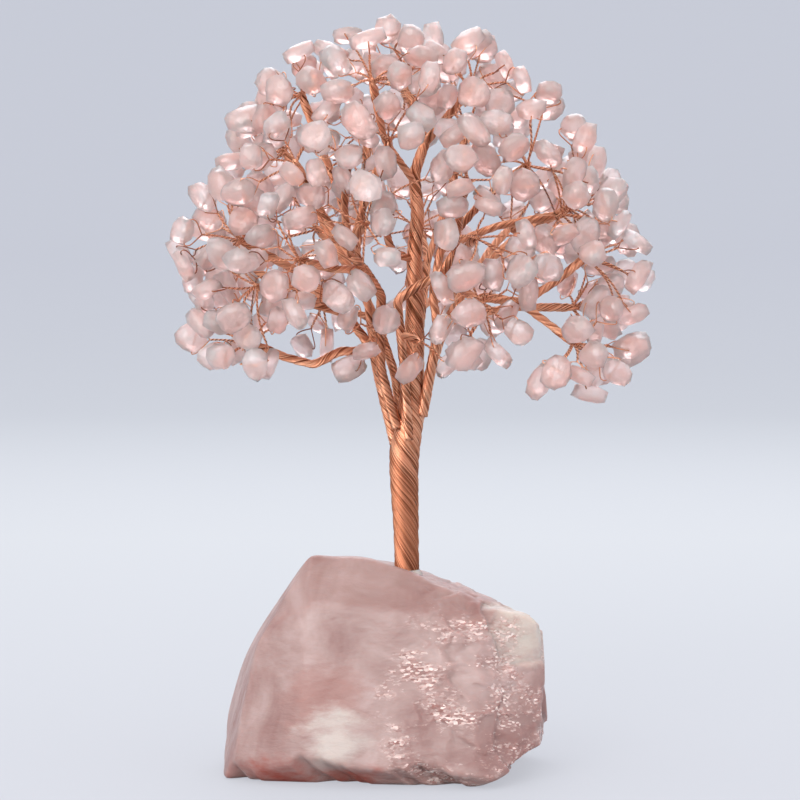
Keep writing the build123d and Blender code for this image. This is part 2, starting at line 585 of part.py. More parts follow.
def fits(chip, around, hung):
    """Is a chip, with its twig and its loop, clear of the limbs and of all that hangs already?

    Limbs that bend are tried one at a time, and all at the end of their bend together."""
    if not in_canopy(chip) or blocks_window(chip):
        return False
    near, wires, knot = hung["still"].near(chip, TWIG_REACH), hung["wires"], chip["knot"]
    planes = (chip["normals"], chip["offsets"], chip["middle"])
    if not clear_of_chips(chip, near) or not clear_of_spheres(*planes, around["limbs"], CHIP_GAP):
        return False
    outside = chip["spheres"][np.linalg.norm(chip["spheres"][:, :3] - knot, axis=1) > KNOT_ROOM]
    strange = wires[np.linalg.norm(wires[:, :3] - knot, axis=1) > OTHER_TWIGS_ROOM]
    if not clear_of_spheres(*planes, wires, WIRE_GAP) or closest(chip["spheres"], strange) < WIRE_GAP:
        return False
    if closest(outside, around["away"]) < WIRE_GAP or not all(
            clear_of_spheres(c["normals"], c["offsets"], c["middle"], outside, WIRE_GAP) for c in near):
        return False
    if not misses(chip, hung["bent"]) or not clear_of_limbs(chip, around["others bent"]):
        return False
    if chip["limb"] == "leader":
        return True
    chip["ghosts"] = [bent(chip, LIMBS[chip["limb"]], degrees) for degrees in BEND_STEPS]
    last = chip["ghosts"][-1]
    return (all(misses(ghost, hung["still"]) and clear_of_limbs(ghost, around["others"])
                for ghost in chip["ghosts"])
            and misses(last, hung["bent fully"]) and clear_of_limbs(last, around["others bent fully"]))


def surroundings(spray, draw):
    """What is round a spray: its knot, the limbs at rest and bent, and the twigs to try."""
    azimuth, elevation, inner, outer, usual, count = SPRAYS[spray]
    limb_name, points = next((name, points) for name, limb in LIMBS.items()
                             for branch, points in limb["branches"] if branch == spray)
    limbs, others = limb_samples(LIMBS), [name for name in LIMBS if name != limb_name]
    knot = np.array(points[-1][:3])
    stem = unit(knot - np.array(points[-2][:3]))
    wanted = [np.array(middle) - knot for name, middle in PLACED if name == spray]
    tries = [(unit(way), np.linalg.norm(way)) for way in wanted]
    tries += [(toward, None) for toward in spray_directions(spray, draw) if toward @ stem > BACKWARD]
    return {"spray": spray, "limb": limb_name, "knot": knot, "axis": from_angles(azimuth, elevation),
            "usual": usual, "tries": tries, "limbs": limbs,
            "away": limbs[np.linalg.norm(limbs[:, :3] - knot, axis=1) > OWN_BRANCH_ROOM],
            "others": limb_samples(others), "others bent": bent_samples(others, BEND_STEPS),
            "others bent fully": bent_samples(others, [LIMB_BEND])}


def hang_chip(draw, around, toward, distance, hung):
    """Tries a twig with its chip at several lengths and ways, and hangs the first that fits."""
    for attempt in range(ATTEMPTS):
        step = LENGTH_STEPS[attempt % len(LENGTH_STEPS)] + draw.uniform(-LENGTH_JITTER, LENGTH_JITTER)
        length = max(around["usual"] + step, SHORTEST_TWIG)
        strayed = unit(toward + STRAY * attempt / ATTEMPTS * draw.uniform(-1.0, 1.0, 3))
        chip = make_chip(draw, around["knot"], strayed, length, distance)
        chip["path"] = twig_path(chip, around["knot"], around["axis"], draw.uniform(-TWIG_BOW, TWIG_BOW, 3))
        chip["loop"] = loop_points(chip)
        chip["spheres"] = np.vstack([samples_along(chip["path"], [2 * WIRE_RADIUS] * 3),
                                     samples_along(chip["loop"], [WIRE_RADIUS] * len(chip["loop"]))])
        chip.update(spray=around["spray"], limb=around["limb"], knot=around["knot"])
        if fits(chip, around, hung):
            ghosts = chip.get("ghosts", [])
            for ghost in ghosts:
                hung["bent"].add(ghost)
            hung["still"].add(chip)
            hung["bent fully"].add(ghosts[-1] if ghosts else chip)
            hung["wires"] = np.vstack([hung["wires"], chip["spheres"]])
            return


def grow_tree():
    """Places every chip: a list of chips, each with its spray, its twig's path and its loop.

    The sprays take turns, so that none of them crowds out its neighbours."""
    draw = np.random.default_rng(SEED)
    hung = {"still": Crowd(), "bent": Crowd(), "bent fully": Crowd(), "wires": np.empty((0, 4))}
    for sprays in (FRONT_SPRAYS, BACK_SPRAYS):
        places = [surroundings(spray, draw) for spray in sprays]
        for turn in range(max(len(around["tries"]) for around in places)):
            for around in places:
                if turn < len(around["tries"]):
                    hang_chip(draw, around, *around["tries"][turn], hung)
    return hung["still"].chips


def closest(some, others):
    """The least gap between two sets of spheres, or a large one where they are far apart."""
    if len(some) == 0 or len(others) == 0:
        return np.inf
    low, high = some[:, :3].min(axis=0) - WIRE_REACH, some[:, :3].max(axis=0) + WIRE_REACH
    others = others[((others[:, :3] > low) & (others[:, :3] < high)).all(axis=1)]
    if len(others) == 0:
        return np.inf
    apart = np.linalg.norm(some[:, None, :3] - others[None, :, :3], axis=2)
    return float((apart - some[:, None, 3] - others[None, :, 3]).min())


def convex_solid(normals, offsets, middle=(0.0, 0.0, 0.0)):
    """The convex solid behind a set of planes, given by their offsets from its middle."""
    corners = corners_of(normals, offsets)
    faces = []
    for normal, offset in zip(normals, offsets):
        ring = corners[abs(corners @ normal - offset) < 1e-5]
        if len(ring) < 3:
            continue
        side, other = square_to(normal)
        out = ring - ring.mean(axis=0)
        ring = ring[np.argsort(np.arctan2(out @ other, out @ side))]
        apart = np.linalg.norm(ring - np.roll(ring, 1, axis=0), axis=1) > 1e-4
        if apart.sum() >= 3:
            points = [Vector(*(point + middle)) for point in ring[apart]]
            faces.append(Face(Wire.make_polygon(points, close=True)))
    return Solid(Shell(faces))


def prism_solid(start, end, radius, sides):
    """A straight bar with flat sides. radius is from its middle line to each flat."""
    axis = unit(np.subtract(end, start))
    side, other = square_to(axis)
    angles = 2 * np.pi * np.arange(sides) / sides
    around = np.cos(angles)[:, None] * side + np.sin(angles)[:, None] * other
    half = np.linalg.norm(np.subtract(end, start)) / 2
    offsets = np.array([radius] * sides + [half, half])
    return convex_solid(np.vstack([around, axis, -axis]), offsets, (np.array(start) + end) / 2)


def bent_bar(points, radius, sides):
    """A bar with flat sides along a path, mitred at each bend. radius is to its corners."""
    points = [np.array(point) for point in points]
    ways = [unit(end - start) for start, end in zip(points[:-1], points[1:])]
    side, other = square_to(ways[0])
    angles = 2 * np.pi * np.arange(sides) / sides
    around = radius * (np.cos(angles)[:, None] * side + np.sin(angles)[:, None] * other)
    rings = [points[0] + around]
    for before, after, point in zip(ways[:-1], ways[1:], points[1:-1]):
        mitre = unit(before + after)
        on_mitre = around - (around @ mitre)[:, None] / (before @ mitre) * before
        rings.append(point + on_mitre)
        around = on_mitre - (on_mitre @ after)[:, None] * after
    rings.append(points[-1] + around)
    faces = []
    for first, second in zip(rings[:-1], rings[1:]):
        for k in range(sides):
            after = (k + 1) % sides
            corners = [first[k], first[after], second[after], second[k]]
            faces.append(Face(Wire.make_polygon([Vector(*c) for c in corners], close=True)))
    for ring in (rings[0], rings[-1]):
        faces.append(Face(Wire.make_polygon([Vector(*c) for c in ring], close=True)))
    return Solid(Shell(faces))


def chip_solid(chip):
    """A tumbled chip with its drilled hole."""
    body = convex_solid(chip["normals"], chip["offsets"], chip["middle"])
    seat = chip["hole"] + DRILL_RADIUS - WIRE_RADIUS - WIRE_TO_CHIP
    middle = chip["middle"] + chip["toward"] * seat
    reach = chip["across"] * DRILL_REACH
    drill = prism_solid(middle - reach, middle + reach, DRILL_RADIUS, DRILL_FACES)
    return body - drill


def twig_solid(chip):
    """One wire: up the twig, round the chip through its hole, and down the twig beside itself."""
    shift = chip["across"] * PAIR_HALF_GAP
    path = chip["path"]
    points = [*(path + shift), *chip["loop"], *(path[::-1] - shift)]
    return bent_bar(points, WIRE_RADIUS, WIRE_FACES)


def knot_solid(points):
    """The short twisted stem at the end of a branch, where a spray's twigs spread."""
    return prism_solid(*knot_ends(points), KNOT_RADIUS, KNOT_FACES)


def spray_solid(chips, points):
    """A spray's knot with its twigs."""
    return knot_solid(points).fuse(*[twig_solid(chip) for chip in chips])


def bundle_solids(points, grow=0.0, ball_first=False):
    """Cones along a path with a ball at each bend. A point is (x, y, z, radius)."""
    solids = []
    for start, end in zip(points[:-1], points[1:]):
        start_at, end_at = Vector(*start[:3]), Vector(*end[:3])
        way = end_at - start_at
        plane = Plane(origin=start_at, z_dir=way)
        low, high = start[3] + grow, end[3] + grow
        if abs(low - high) < 1e-6:
            solids.append(Solid.make_cylinder(low, way.length, plane))
        else:
            solids.append(Solid.make_cone(low, high, way.length, plane))
    balls = points[0 if ball_first else 1:-1]
    solids += [Pos(*ball[:3]) * Solid.make_sphere(ball[3] * BEND_BALL + grow) for ball in balls]
    return solids


def branch_points(points):
    """A branch's points, with the last drawn back to the near face of its knot."""
    return [*points[:-1], (*knot_ends(points)[0], points[-1][3])]


def limb_solid(limb):
    """A limb's bundle and the branches that leave it, down to its rounded root."""
    solids = bundle_solids(limb["bundle"], ball_first=True)
    solids.append(Pos(*limb["bundle"][-1][:3]) * Solid.make_sphere(limb["bundle"][-1][3] * BEND_BALL))
    for spray, points in limb["branches"]:
        solids += bundle_solids(branch_points(points))
    return solids[0].fuse(*solids[1:])


def largest(shape):
    """The largest solid of a shape."""
    return max(shape.solids(), key=lambda solid: solid.volume)


def slot_solid(limb):
    """The flat-sided slot that a limb's root turns in, from its rest to the end of its bend."""
    root, elbow = (np.array(point[:3]) for point in limb["bundle"][:2])
    width = limb["bundle"][0][3] + ROOT_CLEARANCE + SLOT_ROOM
    rest = unit(elbow - root)
    turn, pivot = bend_matrix(limb, LIMB_BEND)
    end = rest @ turn
    middle = unit(rest + end)
    across = unit(np.cross(rest, end))
    normals = [across, -across, np.cross(rest, across), np.cross(across, end), -middle, middle]
    offsets = np.array([width] * 5 + [np.linalg.norm(elbow - root) + width])
    return convex_solid(np.array(normals), offsets, root)


def trunk_solid():
    """The trunk with its leader, and a rounded seat for the root of every other limb."""
    solids = bundle_solids(TRUNK[:-1] + LEADER)
    solids.append(Pos(*LEADER[-1][:3]) * Solid.make_sphere(LEADER[-1][3] * BEND_BALL))
    for spray, points in LIMBS["leader"]["branches"]:
        solids += bundle_solids(branch_points(points))
    trunk = solids[0].fuse(*solids[1:])
    for name, limb in LIMBS.items():
        if name != "leader":
            beyond = bundle_solids(limb["bundle"][1:3], ROOT_CLEARANCE, ball_first=True)
            trunk = largest(trunk.cut(slot_solid(limb)))
            trunk = largest(trunk.cut(beyond[0].fuse(*beyond[1:])))
    return trunk


def stone_solids():
    """The raw stone with its drilled socket, and the resin that holds the trunk in it."""
    normals = np.array([from_angles(azimuth, elevation) for azimuth, elevation, point in STONE_PLANES])
    offsets = np.array([n @ np.array(plane[2]) for n, plane in zip(normals, STONE_PLANES)])
    inside = np.array(STONE_MIDDLE)
    stone = convex_solid(normals, offsets - normals @ inside, inside)
    foot = TRUNK[0]
    bottom = foot[2] - RESIN_UNDER
    socket = Pos(foot[0], foot[1], bottom) * Solid.make_cylinder(SOCKET_RADIUS, SEAT_TOP - bottom)
    drill = Pos(foot[0], foot[1], bottom) * Solid.make_cylinder(SOCKET_RADIUS, ABOVE_STONE - bottom)
    collar = Pos(foot[0], foot[1], SEAT_TOP) * Solid.make_cone(SOCKET_RADIUS, foot[3] + RESIN_LIP, RESIN_FILLET)
    return stone - drill, socket.fuse(collar).cut(*bundle_solids(TRUNK[:3]))


def write(name, shape):
    """Writes one sub-part and says how large it is. Flat faces need no curves of their own."""
    flat = all(face.geom_type == GeomType.PLANE for face in shape.faces())
    export_step(shape, f"parts/{name}.step", write_pcurves=not flat)
    print(f"{name}: {len(shape.solids())} solids, {shape.volume:.1f} mm3")


def main():
    os.makedirs("parts", exist_ok=True)
    stone, resin = stone_solids()
    write("base_stone", stone)
    write("resin_seat", resin)
    write("trunk", trunk_solid())
    chips = grow_tree()
    for name, limb in LIMBS.items():
        if name != "leader":
            write(f"limb_{name}", limb_solid(limb))
        sprays = {spray: [c for c in chips if c["spray"] == spray] for spray, points in limb["branches"]}
        knots = dict(limb["branches"])
        twigs = [spray_solid(held, knots[spray]) for spray, held in sprays.items() if held]
        write(f"twigs_{name}", Compound(children=[s for twig in twigs for s in twig.solids()]))
        for spray, held in sprays.items():
            if held:
                write(f"chips_{spray}", Compound(children=[chip_solid(chip) for chip in held]))
    print(len(chips), "chips")


main()
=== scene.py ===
# %% [markdown]
# # A gemstone tree
# This is a small tree of copper wire. Tumbled rose quartz chips hang on its twigs, and it stands in
# a raw piece of the same stone. The shapes here are numpy arrays, worked out in millimetres, and one
# helper turns them into Blender meshes in metres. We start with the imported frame, because every piece
# has to lie where the solid model has it.

# %% The frame and the tools
import functools
import itertools

import bpy
import numpy as np
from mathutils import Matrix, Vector


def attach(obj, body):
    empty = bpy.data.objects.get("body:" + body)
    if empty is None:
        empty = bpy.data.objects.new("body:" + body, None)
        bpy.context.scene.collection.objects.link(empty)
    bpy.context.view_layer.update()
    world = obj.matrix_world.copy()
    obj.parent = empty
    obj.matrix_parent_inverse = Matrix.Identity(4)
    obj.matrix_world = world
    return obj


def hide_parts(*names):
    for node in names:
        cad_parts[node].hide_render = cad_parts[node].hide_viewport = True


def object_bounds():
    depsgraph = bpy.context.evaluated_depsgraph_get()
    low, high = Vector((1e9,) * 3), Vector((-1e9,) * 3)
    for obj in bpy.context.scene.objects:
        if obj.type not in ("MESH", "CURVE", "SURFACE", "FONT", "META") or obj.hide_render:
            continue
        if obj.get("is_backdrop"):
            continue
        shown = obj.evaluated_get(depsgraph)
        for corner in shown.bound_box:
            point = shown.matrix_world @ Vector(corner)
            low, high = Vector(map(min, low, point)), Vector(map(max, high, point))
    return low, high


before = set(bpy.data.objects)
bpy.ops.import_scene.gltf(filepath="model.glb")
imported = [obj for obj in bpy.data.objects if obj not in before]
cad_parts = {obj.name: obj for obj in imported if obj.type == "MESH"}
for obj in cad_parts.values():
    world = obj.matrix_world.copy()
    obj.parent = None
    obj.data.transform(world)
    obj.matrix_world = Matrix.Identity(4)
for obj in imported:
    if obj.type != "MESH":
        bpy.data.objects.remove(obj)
cad_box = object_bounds()
MM = 0.001
scene = bpy.context.scene

# %% [markdown]
# ## The camera
# The photograph looks at the tree almost level, from some distance, so that upright lines stay
# parallel. A pixel of it is 0.26 mm at the tree's axis. The camera stands 800 mm away and 5 degrees up.

# %% The camera
VIEW_DISTANCE = 800.0
VIEW_ELEVATION = 5.0
FRAME_WIDTH = 208.0
VIEW_TARGET = (0.0, 0.0, 97.5)
SENSOR_WIDTH = 36.0
NEAREST_SEEN = 10.0


def add_camera():
    """A camera that looks at the target, with the frame's width at the target's distance."""
    data = bpy.data.cameras.new("photo_camera")
    camera = bpy.data.objects.new("photo_camera", data)
    scene.collection.objects.link(camera)
    rise = np.radians(VIEW_ELEVATION)
    away = np.array([0.0, -np.cos(rise), np.sin(rise)]) * VIEW_DISTANCE
    camera.location = (np.array(VIEW_TARGET) + away) * MM
    camera.rotation_euler = (np.pi / 2 - rise, 0.0, 0.0)
    data.sensor_width = data.sensor_height = SENSOR_WIDTH
    data.lens = SENSOR_WIDTH * VIEW_DISTANCE / FRAME_WIDTH
    data.clip_start = NEAREST_SEEN * MM
    scene.camera = camera
    return camera


camera = add_camera()
print("lens", round(camera.data.lens, 1), "mm at", tuple(round(v, 3) for v in camera.location))

# %% [markdown]
# ## Real sizes
# These are the sizes of the real thing in millimetres: the wire, the range of the chips, and how much
# room a chip keeps to its neighbours. The solid model uses the same values, so that both agree.

# %% Sizes
# Copper wire. A twig is one wire, doubled back through its chip and twisted with itself.
WIRE_RADIUS = 0.17
PAIR_HALF_GAP = 0.18
WIRE_SIDES = 4

# The knot where a spray's twigs part.
KNOT_RADIUS = 1.15
KNOT_HALF_LENGTH = 1.0
KNOT_CORNERS = 1.25

# Tumbled chips: half sizes along the length, the width and the thickness.
CHIP_LENGTH = (4.2, 5.9)
CHIP_WIDTH = (3.4, 4.5)
CHIP_THICKNESS = (1.8, 2.7)

# Clear room that each chip and each twig keeps to what was placed before it.
CHIP_GAP = 0.3
OWN_LIMB_CHIP_GAP = 0.12
WIRE_GAP = 0.18

# How far a limb bends outwards about its root, in degrees.
LIMB_BEND = 12.0
print("wire", 2 * WIRE_RADIUS, "mm, chips up to", 2 * CHIP_LENGTH[1], "mm")

# %% [markdown]
# ## The tree's plan
# The plan is read off the photograph: where the trunk and its limbs run, which branches leave them, and
# how the twigs of each spray spread. A path is a list of points with the bundle's radius at each.

# %% The stone's faces
# The raw stone's broken faces: azimuth and elevation of the outward normal, a point on the face.
STONE_MIDDLE = (-3.0, 0.0, 25.0)
STONE_PLANES = [
    (0.0, -90.0, (0.0, 0.0, 0.0)),
    (10.0, 70.0, (5.0, 0.0, 52.6)),
    (75.0, 82.0, (-15.0, 0.0, 57.0)),
    (182.0, 31.0, (-29.0, -2.0, 50.0)),
    (190.0, 14.0, (-42.0, -6.0, 20.0)),
    (176.0, -8.0, (-46.5, 5.0, 5.0)),
    (358.0, 4.0, (38.4, 0.0, 21.0)),
    (350.0, -62.0, (36.9, -6.0, 7.0)),
    (5.0, 48.0, (36.0, 0.0, 41.3)),
    (268.0, 15.0, (0.0, -24.5, 14.0)),
    (274.0, 47.0, (2.0, -13.5, 47.0)),
    (300.0, 12.0, (30.0, -18.0, 22.0)),
    (245.0, 14.0, (-28.0, -20.5, 20.0)),
    (225.0, 38.0, (-28.0, -13.0, 45.0)),
    (262.0, -52.0, (-12.0, -24.0, 4.0)),
    (240.0, -20.0, (-38.0, -20.0, 6.0)),
    (88.0, 9.0, (0.0, 27.0, 15.0)),
    (60.0, 22.0, (24.0, 20.0, 22.0)),
    (122.0, 18.0, (-26.0, 21.0, 20.0)),
    (95.0, 50.0, (-5.0, 19.0, 46.0)),
    (150.0, 40.0, (-27.0, 14.0, 44.0)),
    (80.0, -35.0, (5.0, 26.0, 5.0)),
    (40.0, 45.0, (26.0, 14.0, 40.0)),
]
print("stone faces", len(STONE_PLANES))

# %% Trunk and leader
# Each limb is a bundle of twisted wires, as (x, y, z, radius) along its middle.
TRUNK = [
    (1.8, 0.0, 38.0, 3.2),
    (1.8, 0.0, 55.0, 3.2),
    (1.6, 0.0, 64.0, 3.3),
    (1.0, 0.0, 78.8, 3.8),
    (1.2, 0.0, 84.5, 3.95),
    (2.4, 0.0, 92.0, 3.75),
    (3.2, 0.0, 99.0, 3.1),
]
LEADER = [
    (3.2, 0.0, 99.0, 3.1),
    (3.6, 0.2, 110.0, 2.75),
    (4.0, 0.3, 123.8, 2.4),
    (3.7, 0.0, 135.7, 1.95),
    (4.6, 0.0, 146.0, 1.75),
    (3.6, 0.0, 156.0, 1.5),
    (6.5, 0.0, 164.3, 1.35),
]
print("top of the leader", LEADER[-1][2], "mm")

# %% Limbs and branches
# Every limb: where it points (degrees round Z from +X), its bundle, and the branches that leave it.
# A branch is (spray that it carries, its points). The last point of each is the spray's knot.
LIMBS = {
    "leader": {
        "bundle": LEADER,
        "branches": [
            ("top", [(6.5, 0.0, 164.3, 1.2), (4.0, 1.0, 172.0, 1.1), (1.6, 3.0, 179.5, 1.0)]),
            ("top_right", [(6.5, 0.0, 164.3, 1.2), (12.0, -5.0, 170.5, 1.1), (17.5, -10.0, 177.5, 1.0)]),
            ("top_front", [(3.8, 0.0, 154.0, 1.0), (-4.0, -9.0, 165.0, 0.9), (-7.0, -14.0, 179.5, 0.9)]),
            ("centre", [(3.7, 0.0, 134.0, 1.1), (-2.0, -4.0, 136.0, 1.1), (-3.5, -7.0, 141.0, 1.0),
                        (-4.5, -10.0, 148.0, 0.9)]),
            ("top_back", [(6.5, 0.0, 164.3, 1.2), (5.0, 9.0, 171.0, 1.0), (1.0, 20.0, 177.0, 0.9)]),
        ],
    },
    "left": {
        "points_to": 185.0,
        "bundle": [(-1.2, 0.4, 86.0, 1.5), (-3.6, 0.7, 95.7, 1.5), (-5.3, 1.0, 103.0, 1.45),
                   (-6.7, 0.6, 110.0, 1.4)],
        "branches": [
            ("left_low", [(-6.7, 0.6, 110.0, 1.3), (-15.6, -3.0, 110.5, 1.2), (-22.0, -5.0, 107.0, 1.15),
                          (-29.0, -7.0, 109.0, 1.1), (-37.0, -10.0, 112.5, 1.0)]),
            ("left", [(-6.7, 0.6, 110.0, 1.3), (-14.0, -1.0, 120.0, 1.2), (-26.0, -5.0, 131.0, 1.1),
                      (-40.0, -12.0, 139.0, 1.0)]),
            ("left_front", [(-14.0, -1.0, 120.0, 1.1), (-26.0, -10.0, 124.0, 1.0),
                            (-36.0, -18.0, 128.0, 0.9)]),
            ("left_back", [(-14.0, -1.0, 120.0, 1.1), (-26.0, 4.0, 126.0, 1.0), (-39.0, 6.0, 131.0, 0.9)]),
            ("left_top", [(-6.7, 0.6, 110.0, 1.2), (-9.0, 0.0, 128.0, 1.1), (-16.0, -4.0, 152.0, 1.0),
                          (-25.0, -8.0, 176.0, 0.9)]),
        ],
    },
    "front_left": {
        "points_to": 235.0,
        "bundle": [(-0.6, -2.3, 90.5, 1.35), (-2.9, -3.6, 98.0, 1.35), (-5.0, -4.2, 106.0, 1.3),
                   (-5.4, -5.2, 118.0, 1.3), (-4.6, -8.5, 125.0, 1.25), (-8.8, -14.0, 132.0, 1.2),
                   (-12.5, -18.0, 136.0, 1.15)],
        "branches": [
            ("front_left", [(-12.5, -18.0, 136.0, 1.1), (-12.0, -24.0, 140.0, 1.1),
                            (-8.5, -29.0, 144.0, 1.1)]),
            ("left_middle", [(-8.8, -14.0, 132.0, 1.0), (-17.0, -21.0, 132.5, 1.0),
                             (-25.0, -28.0, 135.0, 0.9)]),
            ("left_high", [(-12.5, -18.0, 136.0, 1.1), (-20.0, -21.0, 147.0, 1.0),
                           (-26.0, -24.0, 159.0, 0.9)]),
            ("front_upper", [(-12.5, -18.0, 136.0, 1.0), (-14.0, -25.0, 148.0, 1.0),
                             (-13.0, -31.0, 160.0, 0.9)]),
            ("front_high", [(-12.5, -18.0, 136.0, 1.1), (-9.0, -22.0, 149.0, 1.0),
                            (-2.6, -27.0, 164.5, 0.9)]),
            ("front_low_left", [(-5.4, -5.2, 118.0, 1.0), (-7.0, -8.0, 117.5, 0.9),
                                (-6.0, -11.0, 116.5, 0.9)]),
        ],
    },
    "front_right": {
        "points_to": 298.0,
        "bundle": [(2.4, -3.1, 87.5, 1.2), (1.6, -5.2, 100.0, 1.2), (0.2, -6.6, 115.0, 1.2),
                   (-0.8, -7.4, 124.0, 1.25), (5.2, -8.0, 127.9, 1.25), (10.1, -9.0, 130.3, 1.25),
                   (14.0, -10.5, 136.0, 1.2)],
        "branches": [
            ("front_right", [(14.0, -10.5, 136.0, 1.0), (17.0, -20.0, 138.0, 1.0),
                             (19.0, -30.0, 140.5, 0.9)]),
            ("front_right_high", [(14.0, -10.5, 136.0, 1.1), (15.0, -21.0, 146.0, 1.0),
                                  (16.5, -31.0, 155.0, 0.9)]),
            ("front_right_low", [(10.1, -9.0, 130.3, 1.0), (16.0, -18.0, 127.0, 1.0),
                                 (20.0, -26.5, 124.5, 0.9)]),
            ("front_low_right", [(0.2, -6.6, 115.0, 1.0), (2.5, -8.0, 114.5, 0.9),
                                 (4.5, -10.5, 113.5, 0.9)]),
        ],
    },
    "right": {
        "points_to": 340.0,
        "bundle": [(5.7, -1.2, 93.5, 1.5), (7.9, -2.4, 105.0, 1.45), (9.9, -3.2, 115.0, 1.4)],
        "branches": [
            ("right", [(9.9, -3.2, 115.0, 1.2), (8.4, -4.0, 125.3, 1.1), (10.5, -3.4, 137.0, 1.1),
                       (25.0, -8.0, 143.0, 1.0), (41.0, -14.0, 146.0, 1.0)]),
            ("right_middle", [(9.9, -3.2, 115.0, 1.3), (13.5, -5.5, 118.5, 1.3), (21.3, -11.0, 125.0, 1.3),
                              (30.7, -14.0, 123.5, 1.3), (39.0, -14.5, 128.5, 1.0),
                              (47.0, -14.0, 135.0, 0.9)]),
            ("right_low", [(30.7, -14.0, 123.5, 1.1), (37.5, -13.0, 118.5, 1.0), (44.0, -13.0, 113.5, 0.9)]),
            ("right_high", [(10.5, -3.4, 137.0, 1.1), (22.0, -13.0, 150.5, 1.0), (32.0, -18.0, 158.5, 0.9)]),
        ],
    },
    "back_right": {
        "points_to": 35.0,
        "bundle": [(4.4, 2.4, 88.5, 1.25), (6.9, 4.6, 102.0, 1.25), (12.0, 8.0, 117.0, 1.25),
                   (19.0, 13.0, 129.0, 1.2)],
        "branches": [
            ("right_back", [(19.0, 13.0, 129.0, 1.1), (31.0, 12.0, 140.0, 1.0), (44.0, 8.0, 147.0, 0.9)]),
            ("back_right", [(19.0, 13.0, 129.0, 1.1), (24.0, 20.0, 136.0, 1.0), (29.0, 28.0, 141.0, 0.9)]),
            ("back_right_low", [(12.0, 8.0, 117.0, 1.0), (28.0, 12.0, 121.0, 1.0),
                                (45.0, 10.0, 121.0, 0.9)]),
        ],
    },
    "back": {
        "points_to": 80.0,
        "bundle": [(2.9, 3.1, 95.0, 1.2), (4.2, 5.4, 108.0, 1.2), (5.8, 11.0, 121.0, 1.2),
                   (7.0, 20.0, 132.0, 1.15)],
        "branches": [
            ("back", [(7.0, 20.0, 132.0, 1.1), (6.5, 28.0, 137.0, 1.0), (5.0, 36.0, 141.0, 0.9)]),
            ("back_high", [(7.0, 20.0, 132.0, 1.0), (13.0, 22.0, 150.0, 0.9), (17.5, 26.0, 166.0, 0.9)]),
            ("back_low", [(5.8, 11.0, 121.0, 1.0), (9.0, 22.0, 123.0, 0.9), (14.0, 33.0, 123.0, 0.9)]),
        ],
    },
    "back_left": {
        "points_to": 130.0,
        "bundle": [(0.2, 3.1, 92.0, 1.2), (-1.4, 6.2, 104.0, 1.2), (-6.0, 11.0, 117.0, 1.2),
                   (-12.0, 17.0, 129.0, 1.15)],
        "branches": [
            ("back_left", [(-12.0, 17.0, 129.0, 1.1), (-17.0, 23.0, 135.0, 1.0), (-22.0, 29.0, 141.0, 0.9)]),
            ("left_back_high", [(-12.0, 17.0, 129.0, 1.1), (-22.0, 17.0, 146.0, 1.0),
                                (-30.0, 17.0, 161.0, 0.9)]),
            ("back_left_high", [(-12.0, 17.0, 129.0, 1.0), (-10.0, 23.0, 149.0, 0.9),
                                (-8.5, 28.0, 166.0, 0.9)]),
            ("back_left_low", [(-6.0, 11.0, 117.0, 1.0), (-13.0, 19.0, 120.0, 0.9),
                               (-20.0, 28.0, 121.0, 0.9)]),
        ],
    },
}
print("limbs", len(LIMBS))

# %% Sprays
# Every spray: azimuth and elevation of its middle, the least and the greatest angle of its twigs
# from that middle, in degrees, its usual twig length, and how many chips are tried.
# The sprays that the front shows are filled first.
FRONT_SPRAYS = {
    "front_low_left": (240.0, -10.0, 10.0, 82.0, 7.0, 0),
    "front_low_right": (300.0, -10.0, 10.0, 82.0, 7.0, 0),
    "front_left": (258.0, 12.0, 48.0, 98.0, 12.0, 18),
    "left": (215.0, 15.0, 38.0, 96.0, 10.5, 18),
    "left_low": (215.0, 24.0, 30.0, 88.0, 10.0, 17),
    "front_right": (285.0, 5.0, 42.0, 95.0, 10.0, 16),
    "right": (325.0, 20.0, 38.0, 95.0, 10.5, 17),
    "right_low": (322.0, -8.0, 32.0, 92.0, 9.0, 17),
    "top_right": (300.0, 42.0, 38.0, 92.0, 10.0, 18),
    "top_front": (262.0, 40.0, 42.0, 96.0, 9.5, 18),
    "front_high": (265.0, 30.0, 25.0, 82.0, 8.5, 14),
    "left_high": (232.0, 22.0, 38.0, 94.0, 10.0, 17),
    "right_high": (302.0, 22.0, 42.0, 96.0, 11.0, 18),
    "left_top": (222.0, 42.0, 32.0, 92.0, 9.5, 18),
    "left_middle": (240.0, 5.0, 38.0, 92.0, 9.0, 16),
    "right_middle": (315.0, 10.0, 38.0, 95.0, 10.5, 17),
    "front_right_low": (295.0, -5.0, 35.0, 90.0, 8.0, 14),
    "front_right_high": (290.0, 25.0, 20.0, 82.0, 8.0, 14),
    "front_upper": (250.0, 30.0, 20.0, 82.0, 8.0, 14),
    "left_front": (215.0, -5.0, 25.0, 88.0, 8.0, 14),
    "top": (90.0, 85.0, 8.0, 78.0, 7.5, 14),
    "centre": (240.0, 30.0, 10.0, 80.0, 6.0, 6),
}
